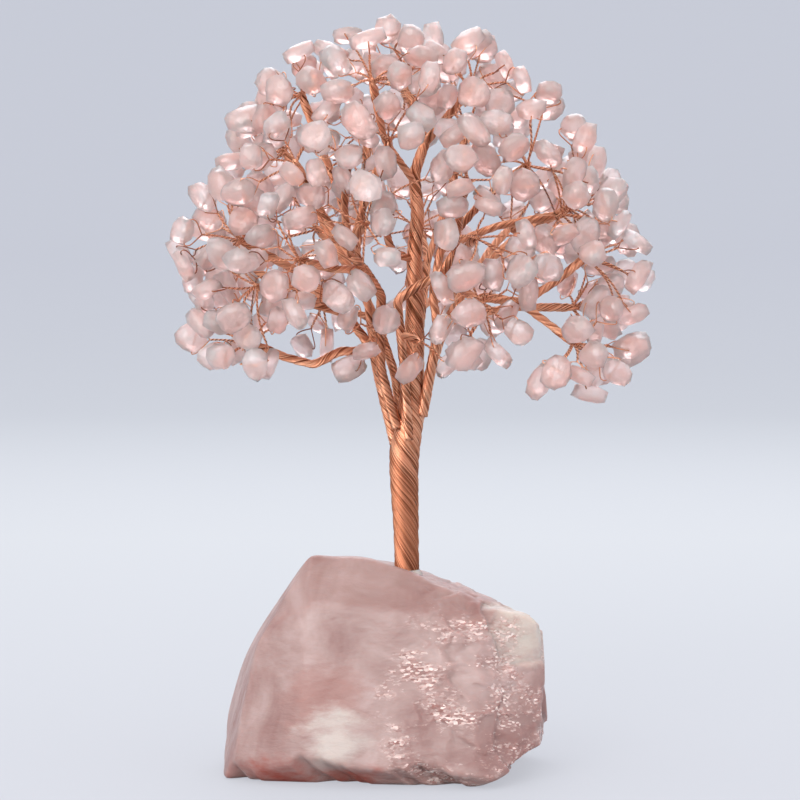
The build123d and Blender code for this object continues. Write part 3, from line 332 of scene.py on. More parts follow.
BACK_SPRAYS = {
    "top_back": (95.0, 50.0, 5.0, 78.0, 8.5, 15),
    "left_back": (168.0, 10.0, 5.0, 80.0, 10.0, 14),
    "right_back": (10.0, 15.0, 5.0, 80.0, 10.0, 15),
    "back_right": (42.0, 10.0, 5.0, 80.0, 10.5, 15),
    "back_right_low": (20.0, 0.0, 5.0, 78.0, 9.5, 14),
    "back": (85.0, 5.0, 5.0, 80.0, 10.0, 15),
    "back_high": (60.0, 35.0, 5.0, 80.0, 9.5, 15),
    "back_low": (75.0, 0.0, 5.0, 76.0, 9.0, 13),
    "back_left": (130.0, 5.0, 5.0, 80.0, 10.0, 15),
    "left_back_high": (155.0, 35.0, 5.0, 80.0, 9.5, 15),
    "back_left_high": (115.0, 35.0, 5.0, 80.0, 9.5, 15),
    "back_left_low": (130.0, 0.0, 5.0, 76.0, 9.0, 13),
}
SPRAYS = FRONT_SPRAYS | BACK_SPRAYS

# Chips that hang where the front shows them: the spray that each belongs to and its middle.
PLACED = [
    ("front_low_left", (-3.5, -19.5, 119.5)),
    ("front_low_left", (-8.5, -16.5, 111.5)),
    ("front_low_left", (-13.5, -11.5, 119.5)),
    ("front_low_left", (-13.0, -8.0, 106.5)),
    ("front_low_right", (2.6, -16.5, 107.0)),
    ("front_low_right", (10.5, -14.5, 117.0)),
    ("front_low_right", (12.5, -13.5, 108.0)),
]
print("sprays", len(SPRAYS))

# %% [markdown]
# ## Vectors
# A few helpers turn angles into directions and find the corners of a body from its planes.

# %% Directions and corners
# Two planes are parallel, and two points are the same, below these.
PARALLEL = 1e-4
SAME = 1e-6

# An axis is nearly upright above this height of its direction.
NEARLY_UPRIGHT = 0.9


def unit(vector):
    """The same direction at length 1."""
    vector = np.asarray(vector, float)
    return vector / np.linalg.norm(vector, axis=-1, keepdims=True)


def from_angles(azimuth, elevation):
    """The direction at an azimuth round Z and an elevation above the horizon, in degrees."""
    turn, rise = np.radians(azimuth), np.radians(elevation)
    return np.array([np.cos(rise) * np.cos(turn), np.cos(rise) * np.sin(turn), np.sin(rise)])


def square_to(axis):
    """Two directions that are square to an axis and to each other."""
    helper = np.array([0.0, 0.0, 1.0]) if abs(axis[2]) < NEARLY_UPRIGHT else np.array([1.0, 0.0, 0.0])
    side = unit(np.cross(axis, helper))
    return side, np.cross(axis, side)


@functools.cache
def picks(count, size):
    """Every way to pick size of count things, one a row."""
    return np.array(list(itertools.combinations(range(count), size)))


def corners_of(normals, offsets):
    """Corners of the convex body that lies behind every plane normal . point = offset."""
    triples = picks(len(normals), 3)
    planes = normals[triples]
    crossing = abs(np.linalg.det(planes)) > PARALLEL
    points = np.linalg.solve(planes[crossing], offsets[triples[crossing]][..., None])[..., 0]
    return points[(points @ normals.T <= offsets + SAME).all(axis=1)]


print("up", from_angles(0.0, 90.0).round(3))

# %% [markdown]
# ## One chip
# A tumbled chip is first a body behind 19 planes: two broad sides, a rim and two rings of bevels. Its
# twig ends behind it in a fork, and the single wire follows the chip's section to the drilled hole.

# %% A chip's planes
CHIP_RIM_FACES = 7
CHIP_BEVEL_FACES = 5

# How a chip's faces vary: the turn of each within its share of the way round, the tilt of the rim's
# faces, how far each is worn back, and how steeply the bevels lean. Angles here are in radians.
FACE_TURN = 0.22
RIM_TILT = 0.2
RIM_WEAR = (0.8, 1.0)
BEVEL_LEAN = (0.7, 1.05)
BEVEL_WEAR = (0.79, 0.87)


def chip_planes(draw):
    """Planes of one tumbled chip about its middle: X along it, Y across it, Z through it."""
    length, width, thickness = (draw.uniform(*r) for r in (CHIP_LENGTH, CHIP_WIDTH, CHIP_THICKNESS))
    normals, offsets = [(0.0, 0.0, 1.0), (0.0, 0.0, -1.0)], [thickness, thickness]
    turn = draw.uniform(0, 2 * np.pi)
    for k in range(CHIP_RIM_FACES):
        angle = turn + 2 * np.pi * (k + draw.uniform(-FACE_TURN, FACE_TURN)) / CHIP_RIM_FACES
        normals.append((np.cos(angle), np.sin(angle), draw.uniform(-RIM_TILT, RIM_TILT)))
        offsets.append(np.hypot(length * np.cos(angle), width * np.sin(angle)) * draw.uniform(*RIM_WEAR))
    for side in (1.0, -1.0):
        turn = draw.uniform(0, 2 * np.pi)
        for k in range(CHIP_BEVEL_FACES):
            angle = turn + 2 * np.pi * (k + draw.uniform(-FACE_TURN, FACE_TURN)) / CHIP_BEVEL_FACES
            lean = draw.uniform(*BEVEL_LEAN)
            rim = np.hypot(length * np.cos(angle), width * np.sin(angle))
            normals.append((np.cos(angle) * np.cos(lean), np.sin(angle) * np.cos(lean), side * np.sin(lean)))
            offsets.append((rim * np.cos(lean) + thickness * np.sin(lean)) * draw.uniform(*BEVEL_WEAR))
    sizes = np.linalg.norm(normals, axis=1)
    return np.array(normals) / sizes[:, None], np.array(offsets) / sizes


print("planes of a chip", 2 + CHIP_RIM_FACES + 2 * CHIP_BEVEL_FACES)

# %% The wire round a chip
# The doubled wire forks this far behind its chip and goes through the hole this share of the way back.
# It keeps a little off the chip. Planes that lie almost in its own plane aren't in its way, and the last
# corner before the hole is at least HOLE_TURN behind it. Nothing is divided by less than TINY.
FORK_ROOM = 0.9
HOLE_SHARE = 0.25
WIRE_TO_CHIP = 0.1
HARDLY_CUT = 0.05
HOLE_TURN = 0.2
TINY = 1e-9


def wire_round(normals, offsets, along, across, back):
    """The doubled wire's way round a chip, as (distance along the twig, distance across it).

    It forks behind the chip, follows the chip's section on both sides, and goes through the drilled
    hole. Both distances are measured from the chip's middle."""
    fork = (-back - FORK_ROOM, 0.0)
    hole = -HOLE_SHARE * back
    section = np.column_stack([normals @ along, normals @ across])
    slope = np.linalg.norm(section, axis=1)
    kept = slope > HARDLY_CUT
    section, reach = section[kept], offsets[kept] + slope[kept] * (WIRE_RADIUS + WIRE_TO_CHIP)
    pairs = picks(len(section), 2)
    crossing = abs(np.linalg.det(section[pairs])) > PARALLEL
    corners = np.linalg.solve(section[pairs[crossing]], reach[pairs[crossing]][..., None])[..., 0]
    corners = corners[(corners @ section.T <= reach + SAME).all(axis=1)]
    sides = []
    for side in (1.0, -1.0):
        outwards = np.where(section[:, 1] * side > SAME, section[:, 1] * side, np.nan)
        mouth = (hole, side * np.nanmin((reach - section[:, 0] * hole) / outwards))
        arm = [fork]
        waiting = [c for c in corners if c[0] < hole - HOLE_TURN and c[1] * side > 0] + [mouth]
        while arm[-1] is not mouth:
            slopes = [side * (c[1] - arm[-1][1]) / max(c[0] - arm[-1][0], TINY) for c in waiting]
            steepest = int(np.argmax(slopes))
            arm.append(waiting[steepest])
            waiting = [c for c in waiting if c[0] > arm[-1][0]]
            if not waiting and arm[-1] is not mouth:
                waiting = [mouth]
        sides.append(arm[1:])
    return np.array(fork), np.array(sides[0]), np.array(sides[1])


print("the wire forks", FORK_ROOM, "mm behind its chip")

# %% A chip on its twig
# A chip leans against its twig by up to CHIP_LEAN, in radians. A twig starts a little inside its knot and
# bends towards its spray's middle by this share.
CHIP_LEAN = 1.5
TWIG_START = 0.5
TWIG_LEAN = 0.22


def make_chip(draw, knot, toward, length, distance):
    """One chip at the end of a twig. toward is the twig's direction from the knot.

    distance, if it is given, is from the knot to the chip's middle, whatever the twig's length."""
    normals, offsets = chip_planes(draw)
    lean = draw.uniform(0.0, CHIP_LEAN)
    side, other = square_to(toward)
    roll = draw.uniform(0, 2 * np.pi)
    out = np.cos(roll) * side + np.sin(roll) * other
    along = np.cos(lean) * toward + np.sin(lean) * out
    through = np.cos(lean) * out - np.sin(lean) * toward
    across = np.cross(through, along)
    normals = normals @ np.array([along, across, through])
    corners = corners_of(normals, offsets)
    back = float(-(corners @ toward).min())
    fork, right, left = wire_round(normals, offsets, toward, across, back)
    middle = knot + toward * (distance or length - fork[0])
    return {"normals": normals, "offsets": offsets, "middle": middle, "corners": corners + middle,
            "toward": toward, "across": across, "fork": fork, "right": right, "left": left}


def twig_path(chip, knot, axis, bow):
    """Points of the twig's middle from inside the knot to the fork behind the chip."""
    end = chip["middle"] + chip["toward"] * chip["fork"][0]
    length = np.linalg.norm(end - knot)
    bend = knot + 0.5 * length * unit(chip["toward"] + TWIG_LEAN * axis) + bow
    return np.array([knot + TWIG_START * unit(bend - knot), bend, end])


def loop_points(chip):
    """The single wire round the chip, from one side of the fork through the hole to the other."""
    path = np.vstack([chip["right"], chip["left"][::-1]])
    return chip["middle"] + path[:, :1] * chip["toward"] + path[:, 1:] * chip["across"]


print("a chip leans by up to", round(np.degrees(CHIP_LEAN)), "degrees")

# %% [markdown]
# ## Room for every chip
# Chips on a real tree are pushed about until none is in the way. Here each chip is tried at several
# lengths and slants and stays at the first place where it is clear of all that hangs already. The limbs
# bend outwards by hand, so it must also be clear while they do.

# %% Wires and limbs as rows of balls
SAMPLE_STEP = 0.6


def samples_along(points, radii):
    """Spheres (x, y, z, radius) at most SAMPLE_STEP apart along a path."""
    points, radii = np.asarray(points, float), np.asarray(radii, float)
    runs = []
    for start, end, r0, r1 in zip(points[:-1], points[1:], radii[:-1], radii[1:]):
        count = max(1, int(np.ceil(np.linalg.norm(end - start) / SAMPLE_STEP)))
        share = np.arange(count + 1)[:, None] / count
        runs.append(np.hstack([start + share * (end - start), r0 + share * (r1 - r0)]))
    return np.vstack(runs)


def knot_ends(points):
    """Both ends of the knot at the end of a branch."""
    end, before = np.array(points[-1][:3]), np.array(points[-2][:3])
    way = unit(end - before) * KNOT_HALF_LENGTH
    return np.array([end - way, end + way])


def limb_samples(names, trunk_too=True):
    """Spheres along the trunk and some limbs, to keep the chips and the twigs clear of them."""
    runs = [samples_along(np.array(TRUNK)[:, :3], np.array(TRUNK)[:, 3])] if trunk_too else []
    for limb in (LIMBS[name] for name in names):
        paths = [np.array(limb["bundle"])] + [np.array(points) for name, points in limb["branches"]]
        runs += [samples_along(path[:, :3], path[:, 3]) for path in paths]
        runs += [samples_along(knot_ends(points), [KNOT_CORNERS] * 2) for name, points in limb["branches"]]
    return np.vstack(runs)


print("balls along the limbs", len(limb_samples(LIMBS)))

# %% Limbs that bend
def bend_matrix(limb, degrees):
    """The turn of a limb that has bent outwards by an angle, for points in rows, and its root."""
    azimuth, root = np.radians(limb["points_to"]), np.array(limb["bundle"][0][:3])
    axis = np.array([-np.sin(azimuth), np.cos(azimuth), 0.0])
    sine, cosine = np.sin(np.radians(degrees)), np.cos(np.radians(degrees))
    skew = np.array([[0, -axis[2], axis[1]], [axis[2], 0, -axis[0]], [-axis[1], axis[0], 0]])
    return (np.eye(3) + sine * skew + (1 - cosine) * skew @ skew).T, root


def turned(spheres, limb, degrees):
    """Spheres of a limb after it has bent outwards by an angle."""
    turn, root = bend_matrix(limb, degrees)
    return np.column_stack([(spheres[:, :3] - root) @ turn + root, spheres[:, 3]])


def bent_samples(names, steps):
    """Spheres along some limbs, but not the leader, at some angles of their bend."""
    runs = [np.empty((0, 4))]
    for name in names:
        if name != "leader":
            spheres = limb_samples([name], trunk_too=False)
            runs += [turned(spheres, LIMBS[name], degrees) for degrees in steps]
    return np.vstack(runs)


print("balls along the bent limbs", len(bent_samples(LIMBS, [LIMB_BEND])))

# %% The gap between rows of balls
# Balls farther off than this aren't measured.
WIRE_REACH = 4.0


def closest(some, others):
    """The least gap between two sets of spheres, or infinity where they are far apart."""
    if len(some) == 0 or len(others) == 0:
        return np.inf
    low, high = some[:, :3].min(axis=0) - WIRE_REACH, some[:, :3].max(axis=0) + WIRE_REACH
    others = others[((others[:, :3] > low) & (others[:, :3] < high)).all(axis=1)]
    if len(others) == 0:
        return np.inf
    apart = np.linalg.norm(some[:, None, :3] - others[None, :, :3], axis=2)
    return float((apart - some[:, None, 3] - others[None, :, 3]).min())


print("measured within", WIRE_REACH, "mm")

# %% Chips that hang already
class Crowd:
    """Chips that hang already, kept so that those near a place are found fast."""

    def __init__(self):
        self.chips = []
        self.middles = np.empty((0, 3))

    def add(self, chip):
        """Takes in a chip that has found its place."""
        self.chips.append(chip)
        self.middles = np.vstack([self.middles, chip["middle"]])

    def near(self, chip, reach, strangers=False):
        """The chips within reach of a chip, or of those only the ones on other limbs."""
        apart = np.linalg.norm(self.middles - chip["middle"], axis=1)
        found = [self.chips[k] for k in np.flatnonzero(apart < reach)]
        return [c for c in found if c["limb"] != chip["limb"]] if strangers else found


print("chips at the start", len(Crowd().chips))

# %% Clear of chips, wires and limbs
# Farther apart than these, two chips can't touch, nor two chips with their twigs, nor a chip and a wire.
CHIP_REACH = 13.0
TWIG_REACH = 26.0
CHIP_HALF_REACH = 12.0


def clear_of_spheres(normals, offsets, middle, spheres, gap):
    """Is a chip clear of every sphere? A sphere is clear if it lies wholly before one of its planes."""
    near = spheres[np.linalg.norm(spheres[:, :3] - middle, axis=1) < CHIP_HALF_REACH]
    if len(near) == 0:
        return True
    return bool((((near[:, :3] - middle) @ normals.T - offsets).max(axis=1) > near[:, 3] + gap).all())


def clear_of_chips(chip, others):
    """Does a face of one chip part it from each other chip, with the gap between them?"""
    for other in others:
        if np.linalg.norm(other["middle"] - chip["middle"]) > CHIP_REACH:
            continue
        ahead = (other["corners"] @ chip["normals"].T).min(axis=0) - chip["normals"] @ chip["middle"]
        behind = (chip["corners"] @ other["normals"].T).min(axis=0) - other["normals"] @ other["middle"]
        gap = OWN_LIMB_CHIP_GAP if other["limb"] == chip["limb"] else CHIP_GAP
        if max((ahead - chip["offsets"]).max(), (behind - other["offsets"]).max()) < gap:
            return False
    return True


def bent(chip, limb, degrees):
    """A chip with its wire where they are after their limb has bent outwards by an angle."""
    turn, root = bend_matrix(limb, degrees)
    return {"normals": chip["normals"] @ turn, "offsets": chip["offsets"], "limb": chip["limb"],
            "middle": (chip["middle"] - root) @ turn + root,
            "corners": (chip["corners"] - root) @ turn + root,
            "spheres": turned(chip["spheres"], limb, degrees)}


def misses(chip, crowd):
    """Is a chip with its wire clear of the chips of other limbs with theirs?"""
    others = crowd.near(chip, TWIG_REACH, strangers=True)
    planes = (chip["normals"], chip["offsets"], chip["middle"])
    return clear_of_chips(chip, others) and all(
        clear_of_spheres(*planes, c["spheres"], WIRE_GAP)
        and clear_of_spheres(c["normals"], c["offsets"], c["middle"], chip["spheres"], WIRE_GAP)
        and closest(chip["spheres"], c["spheres"]) > WIRE_GAP for c in others)


def clear_of_limbs(chip, samples):
    """Is a chip with its wire clear of balls along limbs?"""
    return (clear_of_spheres(chip["normals"], chip["offsets"], chip["middle"], samples, WIRE_GAP)
            and closest(chip["spheres"], samples) > WIRE_GAP)


print("room kept", CHIP_GAP, OWN_LIMB_CHIP_GAP, WIRE_GAP, "mm")

# %% The canopy's outline
# The canopy's outline is an egg shape. Its lower edge is a plane that falls to the right: its height
# above the middle of the base, and its fall for each millimetre along X.
CANOPY_MIDDLE = (3.0, 1.0, 127.0)
CANOPY_HALF = (65.0, 58.0, 71.5)
LOWER_EDGE = 99.5
LOWER_EDGE_FALL = 0.12

# In front of the leader no chip hangs between these, so that it shows.
WINDOW_X = (0.8, 6.6)
WINDOW_Z = (125.0, 158.0)


def in_canopy(chip):
    """Does a chip keep inside the canopy's outline and above its lower edge?"""
    corners = chip["corners"]
    out = (corners - CANOPY_MIDDLE) / CANOPY_HALF
    edge = LOWER_EDGE - LOWER_EDGE_FALL * corners[:, 0]
    return bool(((out ** 2).sum(axis=1) < 1).all() and (corners[:, 2] > edge).all())


def blocks_window(chip):
    """Does a chip hang in front of the stretch of the leader that shows?"""
    low, high = chip["corners"].min(axis=0), chip["corners"].max(axis=0)
    beside = low[0] > WINDOW_X[1] or high[0] < WINDOW_X[0]
    above_or_below = low[2] > WINDOW_Z[1] or high[2] < WINDOW_Z[0]
    return high[1] < 0 and not beside and not above_or_below


print("canopy from", LOWER_EDGE, "to", CANOPY_MIDDLE[2] + CANOPY_HALF[2], "mm")

# %% Is a place free?
# Near its knot a twig may touch its own branch, its spray's other twigs, and the knot.
KNOT_ROOM = 1.6
OWN_BRANCH_ROOM = 2.4
OTHER_TWIGS_ROOM = 4.0

# The angles of a limb's bend, in degrees, at which the room of its chips is tested.
BEND_STEPS = (2.0, 4.0, 6.0, 8.0, 10.0, 12.0)


def fits(chip, around, hung):
    """Is a chip, with its twig and its loop, clear of the limbs and of all that hangs already?

    Limbs that bend are tried one at a time, and all at the end of their bend together."""
    if not in_canopy(chip) or blocks_window(chip):
        return False
    near, wires, knot = hung["still"].near(chip, TWIG_REACH), hung["wires"], chip["knot"]
    planes = (chip["normals"], chip["offsets"], chip["middle"])
    if not clear_of_chips(chip, near) or not clear_of_spheres(*planes, around["limbs"], CHIP_GAP):
        return False
    outside = chip["spheres"][np.linalg.norm(chip["spheres"][:, :3] - knot, axis=1) > KNOT_ROOM]
    strange = wires[np.linalg.norm(wires[:, :3] - knot, axis=1) > OTHER_TWIGS_ROOM]
    if not clear_of_spheres(*planes, wires, WIRE_GAP) or closest(chip["spheres"], strange) < WIRE_GAP:
        return False
    if closest(outside, around["away"]) < WIRE_GAP or not all(
            clear_of_spheres(c["normals"], c["offsets"], c["middle"], outside, WIRE_GAP) for c in near):
        return False
    if not misses(chip, hung["bent"]) or not clear_of_limbs(chip, around["others bent"]):
        return False
    if chip["limb"] == "leader":
        return True
    chip["ghosts"] = [bent(chip, LIMBS[chip["limb"]], degrees) for degrees in BEND_STEPS]
    last = chip["ghosts"][-1]
    return (all(misses(ghost, hung["still"]) and clear_of_limbs(ghost, around["others"])
                for ghost in chip["ghosts"])
            and misses(last, hung["bent fully"]) and clear_of_limbs(last, around["others bent fully"]))


print("bend steps", BEND_STEPS)

# %% The twigs of a spray
# From one twig to the next is a golden turn, in radians, give or take the jitter. No twig points back
# along its branch by more than BACKWARD.
GOLDEN_TURN = 2.39996
TURN_JITTER = 0.2
BACKWARD = -0.25


def spray_directions(spray, draw):
    """Directions of a spray's twigs, spread evenly over the zone between its two angles."""
    azimuth, elevation, inner, outer, _, count = SPRAYS[spray]
    axis = from_angles(azimuth, elevation)
    side, other = square_to(axis)
    near, far = np.cos(np.radians(inner)), np.cos(np.radians(outer))
    for k in range(count):
        rise = near + (k + 0.5) / count * (far - near)
        turn = k * GOLDEN_TURN + draw.uniform(-TURN_JITTER, TURN_JITTER)
        flat = np.sqrt(1 - rise * rise)
        yield rise * axis + flat * (np.cos(turn) * side + np.sin(turn) * other)


def surroundings(spray, draw):
    """What is round a spray: its knot, the limbs at rest and bent, and the twigs to try."""
    azimuth, elevation, _, _, usual, _ = SPRAYS[spray]
    limb_name, points = next((name, points) for name, limb in LIMBS.items()
                             for branch, points in limb["branches"] if branch == spray)
    limbs, others = limb_samples(LIMBS), [name for name in LIMBS if name != limb_name]
    knot = np.array(points[-1][:3])
    stem = unit(knot - np.array(points[-2][:3]))
    wanted = [np.array(middle) - knot for name, middle in PLACED if name == spray]
    tries = [(unit(way), np.linalg.norm(way)) for way in wanted]
    tries += [(toward, None) for toward in spray_directions(spray, draw) if toward @ stem > BACKWARD]
    return {"spray": spray, "limb": limb_name, "knot": knot, "axis": from_angles(azimuth, elevation),
            "usual": usual, "tries": tries, "limbs": limbs,
            "away": limbs[np.linalg.norm(limbs[:, :3] - knot, axis=1) > OWN_BRANCH_ROOM],
            "others": limb_samples(others), "others bent": bent_samples(others, BEND_STEPS),
            "others bent fully": bent_samples(others, [LIMB_BEND])}


print("twigs wanted", sum(count for *_, count in SPRAYS.values()) + len(PLACED))

# %% Growing the tree
# Steps from a spray's usual twig length to the lengths that are tried, in this order. A later try also
# strays farther from the wanted direction, and every twig bows sideways by up to TWIG_BOW.
LENGTH_STEPS = (0.0, 2.0, -1.5, 4.0, -3.0, 6.0, -4.0, 8.0)
LENGTH_JITTER = 0.6
SHORTEST_TWIG = 2.5
ATTEMPTS = 32
STRAY = 0.5
TWIG_BOW = 0.5
SEED = 7


def hang_chip(draw, around, toward, distance, hung):
    """Tries a twig with its chip at several lengths and ways, and hangs the first that fits."""
    for attempt in range(ATTEMPTS):
        step = LENGTH_STEPS[attempt % len(LENGTH_STEPS)] + draw.uniform(-LENGTH_JITTER, LENGTH_JITTER)
        length = max(around["usual"] + step, SHORTEST_TWIG)
        strayed = unit(toward + STRAY * attempt / ATTEMPTS * draw.uniform(-1.0, 1.0, 3))
        chip = make_chip(draw, around["knot"], strayed, length, distance)
        chip["path"] = twig_path(chip, around["knot"], around["axis"], draw.uniform(-TWIG_BOW, TWIG_BOW, 3))
        chip["loop"] = loop_points(chip)
        chip["spheres"] = np.vstack([samples_along(chip["path"], [2 * WIRE_RADIUS] * 3),
                                     samples_along(chip["loop"], [WIRE_RADIUS] * len(chip["loop"]))])
        chip.update(spray=around["spray"], limb=around["limb"], knot=around["knot"])
        if fits(chip, around, hung):
            ghosts = chip.get("ghosts", [])
            for ghost in ghosts:
                hung["bent"].add(ghost)
            hung["still"].add(chip)
            hung["bent fully"].add(ghosts[-1] if ghosts else chip)
            hung["wires"] = np.vstack([hung["wires"], chip["spheres"]])
            return


def grow_tree():
    """Places every chip: a list of chips, each with its spray, its twig's path and its loop.

    The sprays take turns, so that none of them crowds out its neighbours."""
    draw = np.random.default_rng(SEED)
    hung = {"still": Crowd(), "bent": Crowd(), "bent fully": Crowd(), "wires": np.empty((0, 4))}
    for sprays in (FRONT_SPRAYS, BACK_SPRAYS):
        places = [surroundings(spray, draw) for spray in sprays]
        for turn in range(max(len(around["tries"]) for around in places)):
            for around in places:
                if turn < len(around["tries"]):
                    hang_chip(draw, around, *around["tries"][turn], hung)
    return hung["still"].chips


hanging = grow_tree()
print("chips", len(hanging))

# %% [markdown]
# ## From arrays to pieces
# A piece is a list of points and a list of faces. We work out whole arrays in millimetres, and this one
# function puts them into a mesh, scales them to metres, hangs the piece on the empty of the body that it
# rides on, and hides the solid that it stands for.

# %% Adding a piece
def add_piece(name, points, faces, body, node, material, tones=None):
    """A smooth mesh from points in mm. tones, one number a point, vary its colour in the material."""
    mesh = bpy.data.meshes.new(name)
    mesh.from_pydata((points * MM).tolist(), [], faces)
    mesh.polygons.foreach_set("use_smooth", np.ones(len(mesh.polygons), bool))
    if tones is not None:
        mesh.attributes.new("tone", "FLOAT", "POINT").data.foreach_set("value", tones)
    mesh.materials.append(material)
    piece = bpy.data.objects.new(name, mesh)
    scene.collection.objects.link(piece)
    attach(piece, body)
    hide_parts(node)
    print(name, "points", len(points), "faces", len(faces))
    return piece


def body_of(limb_name):
    """The body that a limb's pieces ride on. The leader is part of the trunk."""
    return "trunk" if limb_name == "leader" else f"{limb_name}_limb"


def join(parts):
    """Several (points, faces, tones) as one."""
    points, faces, tones, start = [], [], [], 0
    for some_points, some_faces, some_tones in parts:
        points.append(some_points)
        faces += [[corner + start for corner in face] for face in some_faces]
        tones.append(some_tones)
        start += len(some_points)
    return np.vstack(points), faces, np.concatenate(tones)


print("the leader rides on", body_of("leader"))

# %% [markdown]
# ## Tubes
# Every wire here is a tube: a ring of a few points, carried along a line. Working out all the wires of
# a piece together keeps the code short and fast, so the arrays have one axis for the wires, one for the
# rings of a wire and one for the corners of a ring. Both ends are closed.

# %% Tubes along many lines at once
def length_along(points):
    """How far along its line each point lies."""
    return np.r_[0.0, np.cumsum(np.linalg.norm(np.diff(points, axis=0), axis=1))]


def at_lengths(at, along, points):
    """Points at some lengths along a line, in between those that are known."""
    return np.stack([np.interp(at, along, column) for column in points.T], axis=-1)


def evened(line, rounds):
    """A line with its corners rounded: each point becomes 1/2 itself and 1/4 each neighbour."""
    for _ in range(rounds):
        line[1:-1] = 0.25 * line[:-2] + 0.5 * line[1:-1] + 0.25 * line[2:]
    return line


def tubes(centres, normals, radius, sides, tones):
    """Tubes whose rings are centre + radius (cos a . up + sin a . side), square to the line.

    centres and normals are (lines, rings, 3). A normal shows where a ring's first corner points.
    radius is one number, or one for each ring."""
    way = unit(np.gradient(centres, axis=1))
    side = unit(np.cross(way, normals))
    up = np.cross(side, way)
    angle = 2 * np.pi * np.arange(sides)[:, None] / sides
    outward = np.cos(angle) * up[:, :, None] + np.sin(angle) * side[:, :, None]
    rings = centres[:, :, None] + radius * outward
    lines, count = centres.shape[:2]
    index = np.arange(lines * count * sides).reshape(lines, count, sides)
    after = np.roll(index, -1, axis=2)
    walls = np.stack([index[:, :-1], after[:, :-1], after[:, 1:], index[:, 1:]], axis=-1).reshape(-1, 4)
    faces = walls.tolist() + index[:, 0, ::-1].tolist() + index[:, -1].tolist()
    return rings.reshape(-1, 3), faces, np.repeat(tones, count * sides)


print("corners of a wire", WIRE_SIDES)

# %% [markdown]
# ## Wound wires
# The real trunk is all the twigs' wires brought together and twisted. So the bundle is wound here as it
# is on the tree: wires side by side round the path, on a slant. Where the bundle grows thinner there is
# no room for all of them, so some dive under their neighbours and end.

# %% Winding wires round a path
BUNDLE_WIRE = 0.17
PATH_STEP = 0.5
ROUNDING = 12
RING_SPACING = 0.62
DIVE_LENGTH = 4.0
DIVE_DEPTH = 0.7

# Grooves between the groups of wires, and how far a wire wavers out and aside, at rates in radians a mm.
WIRE_GROUPS = 6
GROOVE = 0.42
GROOVE_POWER = 4
WAVER = 0.06
OUT_WAVER_RATE = 0.8
TURN_WAVER_RATE = 0.45

# The wires take up nearly the whole way round. Each has a rank from 0 to 1 and ends where the bundle has
# thinned to less than RANK_ENDS times its rank. The golden section spreads the ranks round the bundle.
FILLED = 0.97
GOLDEN_SECTION = 0.618034
RANK_ENDS = 0.9
LEAST_WIRES = 6
LEAST_RINGS = 8

# Bundles of this radius and more have grooves of the full depth. The core lies under the wires, and
# its tone below 0 is the darkest copper: painted shade in the grooves.
FULL_GROOVE_RADIUS = 2.0
CORE_WIRES_DEEP = 2.2
CORE_SUNK = 0.2
CORE_SIDES = 10
CORE_SHADE_TONE = -1.0


def smooth_path(points):
    """A (x, y, z, radius) path in short steps, with its bends rounded."""
    points = np.array(points, float)
    along = length_along(points[:, :3])
    at = np.linspace(0.0, along[-1], int(along[-1] / PATH_STEP) + 2)
    return evened(at_lengths(at, along, points), ROUNDING)


def wire_ends(radius, along, count):
    """How far along a bundle each of its wires goes, by its rank and the bundle's radius."""
    rank = (np.arange(count) * GOLDEN_SECTION) % 1.0
    room = np.maximum.accumulate(radius[::-1])[::-1] / radius.max()
    return np.array([along[np.flatnonzero(room >= RANK_ENDS * each)[-1]] for each in rank])


def wound_wires(points, lay, draw, groups=WIRE_GROUPS):
    """Wires at an angle a(s) to a path, each a helix of radius R(s) that turns by -tan(a) / R.

    lay gives a in degrees, as (share of the path's length, angle). Every group of wires stands a
    little proud in its middle, which leaves the grooves of a twisted rope."""
    path = smooth_path(points)
    way = unit(np.gradient(path[:, :3], axis=0))
    along = length_along(path[:, :3])
    aside = square_to(unit(way.mean(axis=0)))[0]
    first = unit(aside - (way @ aside)[:, None] * way)
    second = np.cross(way, first)
    radius = path[:, 3]
    slant = np.radians(np.interp(along / along[-1], *zip(*lay)))
    turn = -np.r_[0.0, np.cumsum(np.tan(slant[1:]) / radius[1:] * np.diff(along))]
    count = max(LEAST_WIRES, int(np.pi * (radius.max() - BUNDLE_WIRE) / BUNDLE_WIRE * FILLED))
    last = wire_ends(radius, along, count)
    rings = max(LEAST_RINGS, int(along[-1] / RING_SPACING))
    at = last[:, None] * np.linspace(0.0, 1.0, rings)
    phase = draw.uniform(0.0, 2 * np.pi, (count, 2))
    in_group = (np.arange(count) * groups / count) % 1.0 * 2 - 1
    grooved = min(1.0, radius.max() / FULL_GROOVE_RADIUS)
    sunk = GROOVE * in_group[:, None] ** GROOVE_POWER * grooved
    gone = np.clip((at - last[:, None] + DIVE_LENGTH) / DIVE_LENGTH, 0.0, 1.0) * (last < along[-1])[:, None]
    out = np.interp(at, along, radius) - BUNDLE_WIRE - sunk - DIVE_DEPTH * gone * gone
    out += WAVER * np.sin(OUT_WAVER_RATE * at + phase[:, :1])
    angle = 2 * np.pi * np.arange(count)[:, None] / count + np.interp(at, along, turn)
    angle += WAVER / radius.max() * np.sin(TURN_WAVER_RATE * at + phase[:, 1:])
    middle, up, side = (at_lengths(at, along, known) for known in (path[:, :3], first, second))
    outward = np.cos(angle)[..., None] * up + np.sin(angle)[..., None] * side
    wires = tubes(middle + out[..., None] * outward, outward, BUNDLE_WIRE, WIRE_SIDES,
                  draw.uniform(0, 1, count))
    # The core is painted the darkest copper, as the shade in the grooves between the wires.
    core_radius = (radius - CORE_WIRES_DEEP * BUNDLE_WIRE - CORE_SUNK * grooved)[:, None, None]
    return [wires, tubes(path[None, :, :3], first[None], core_radius, CORE_SIDES, [CORE_SHADE_TONE])]


print("wire of the bundles", 2 * BUNDLE_WIRE, "mm")

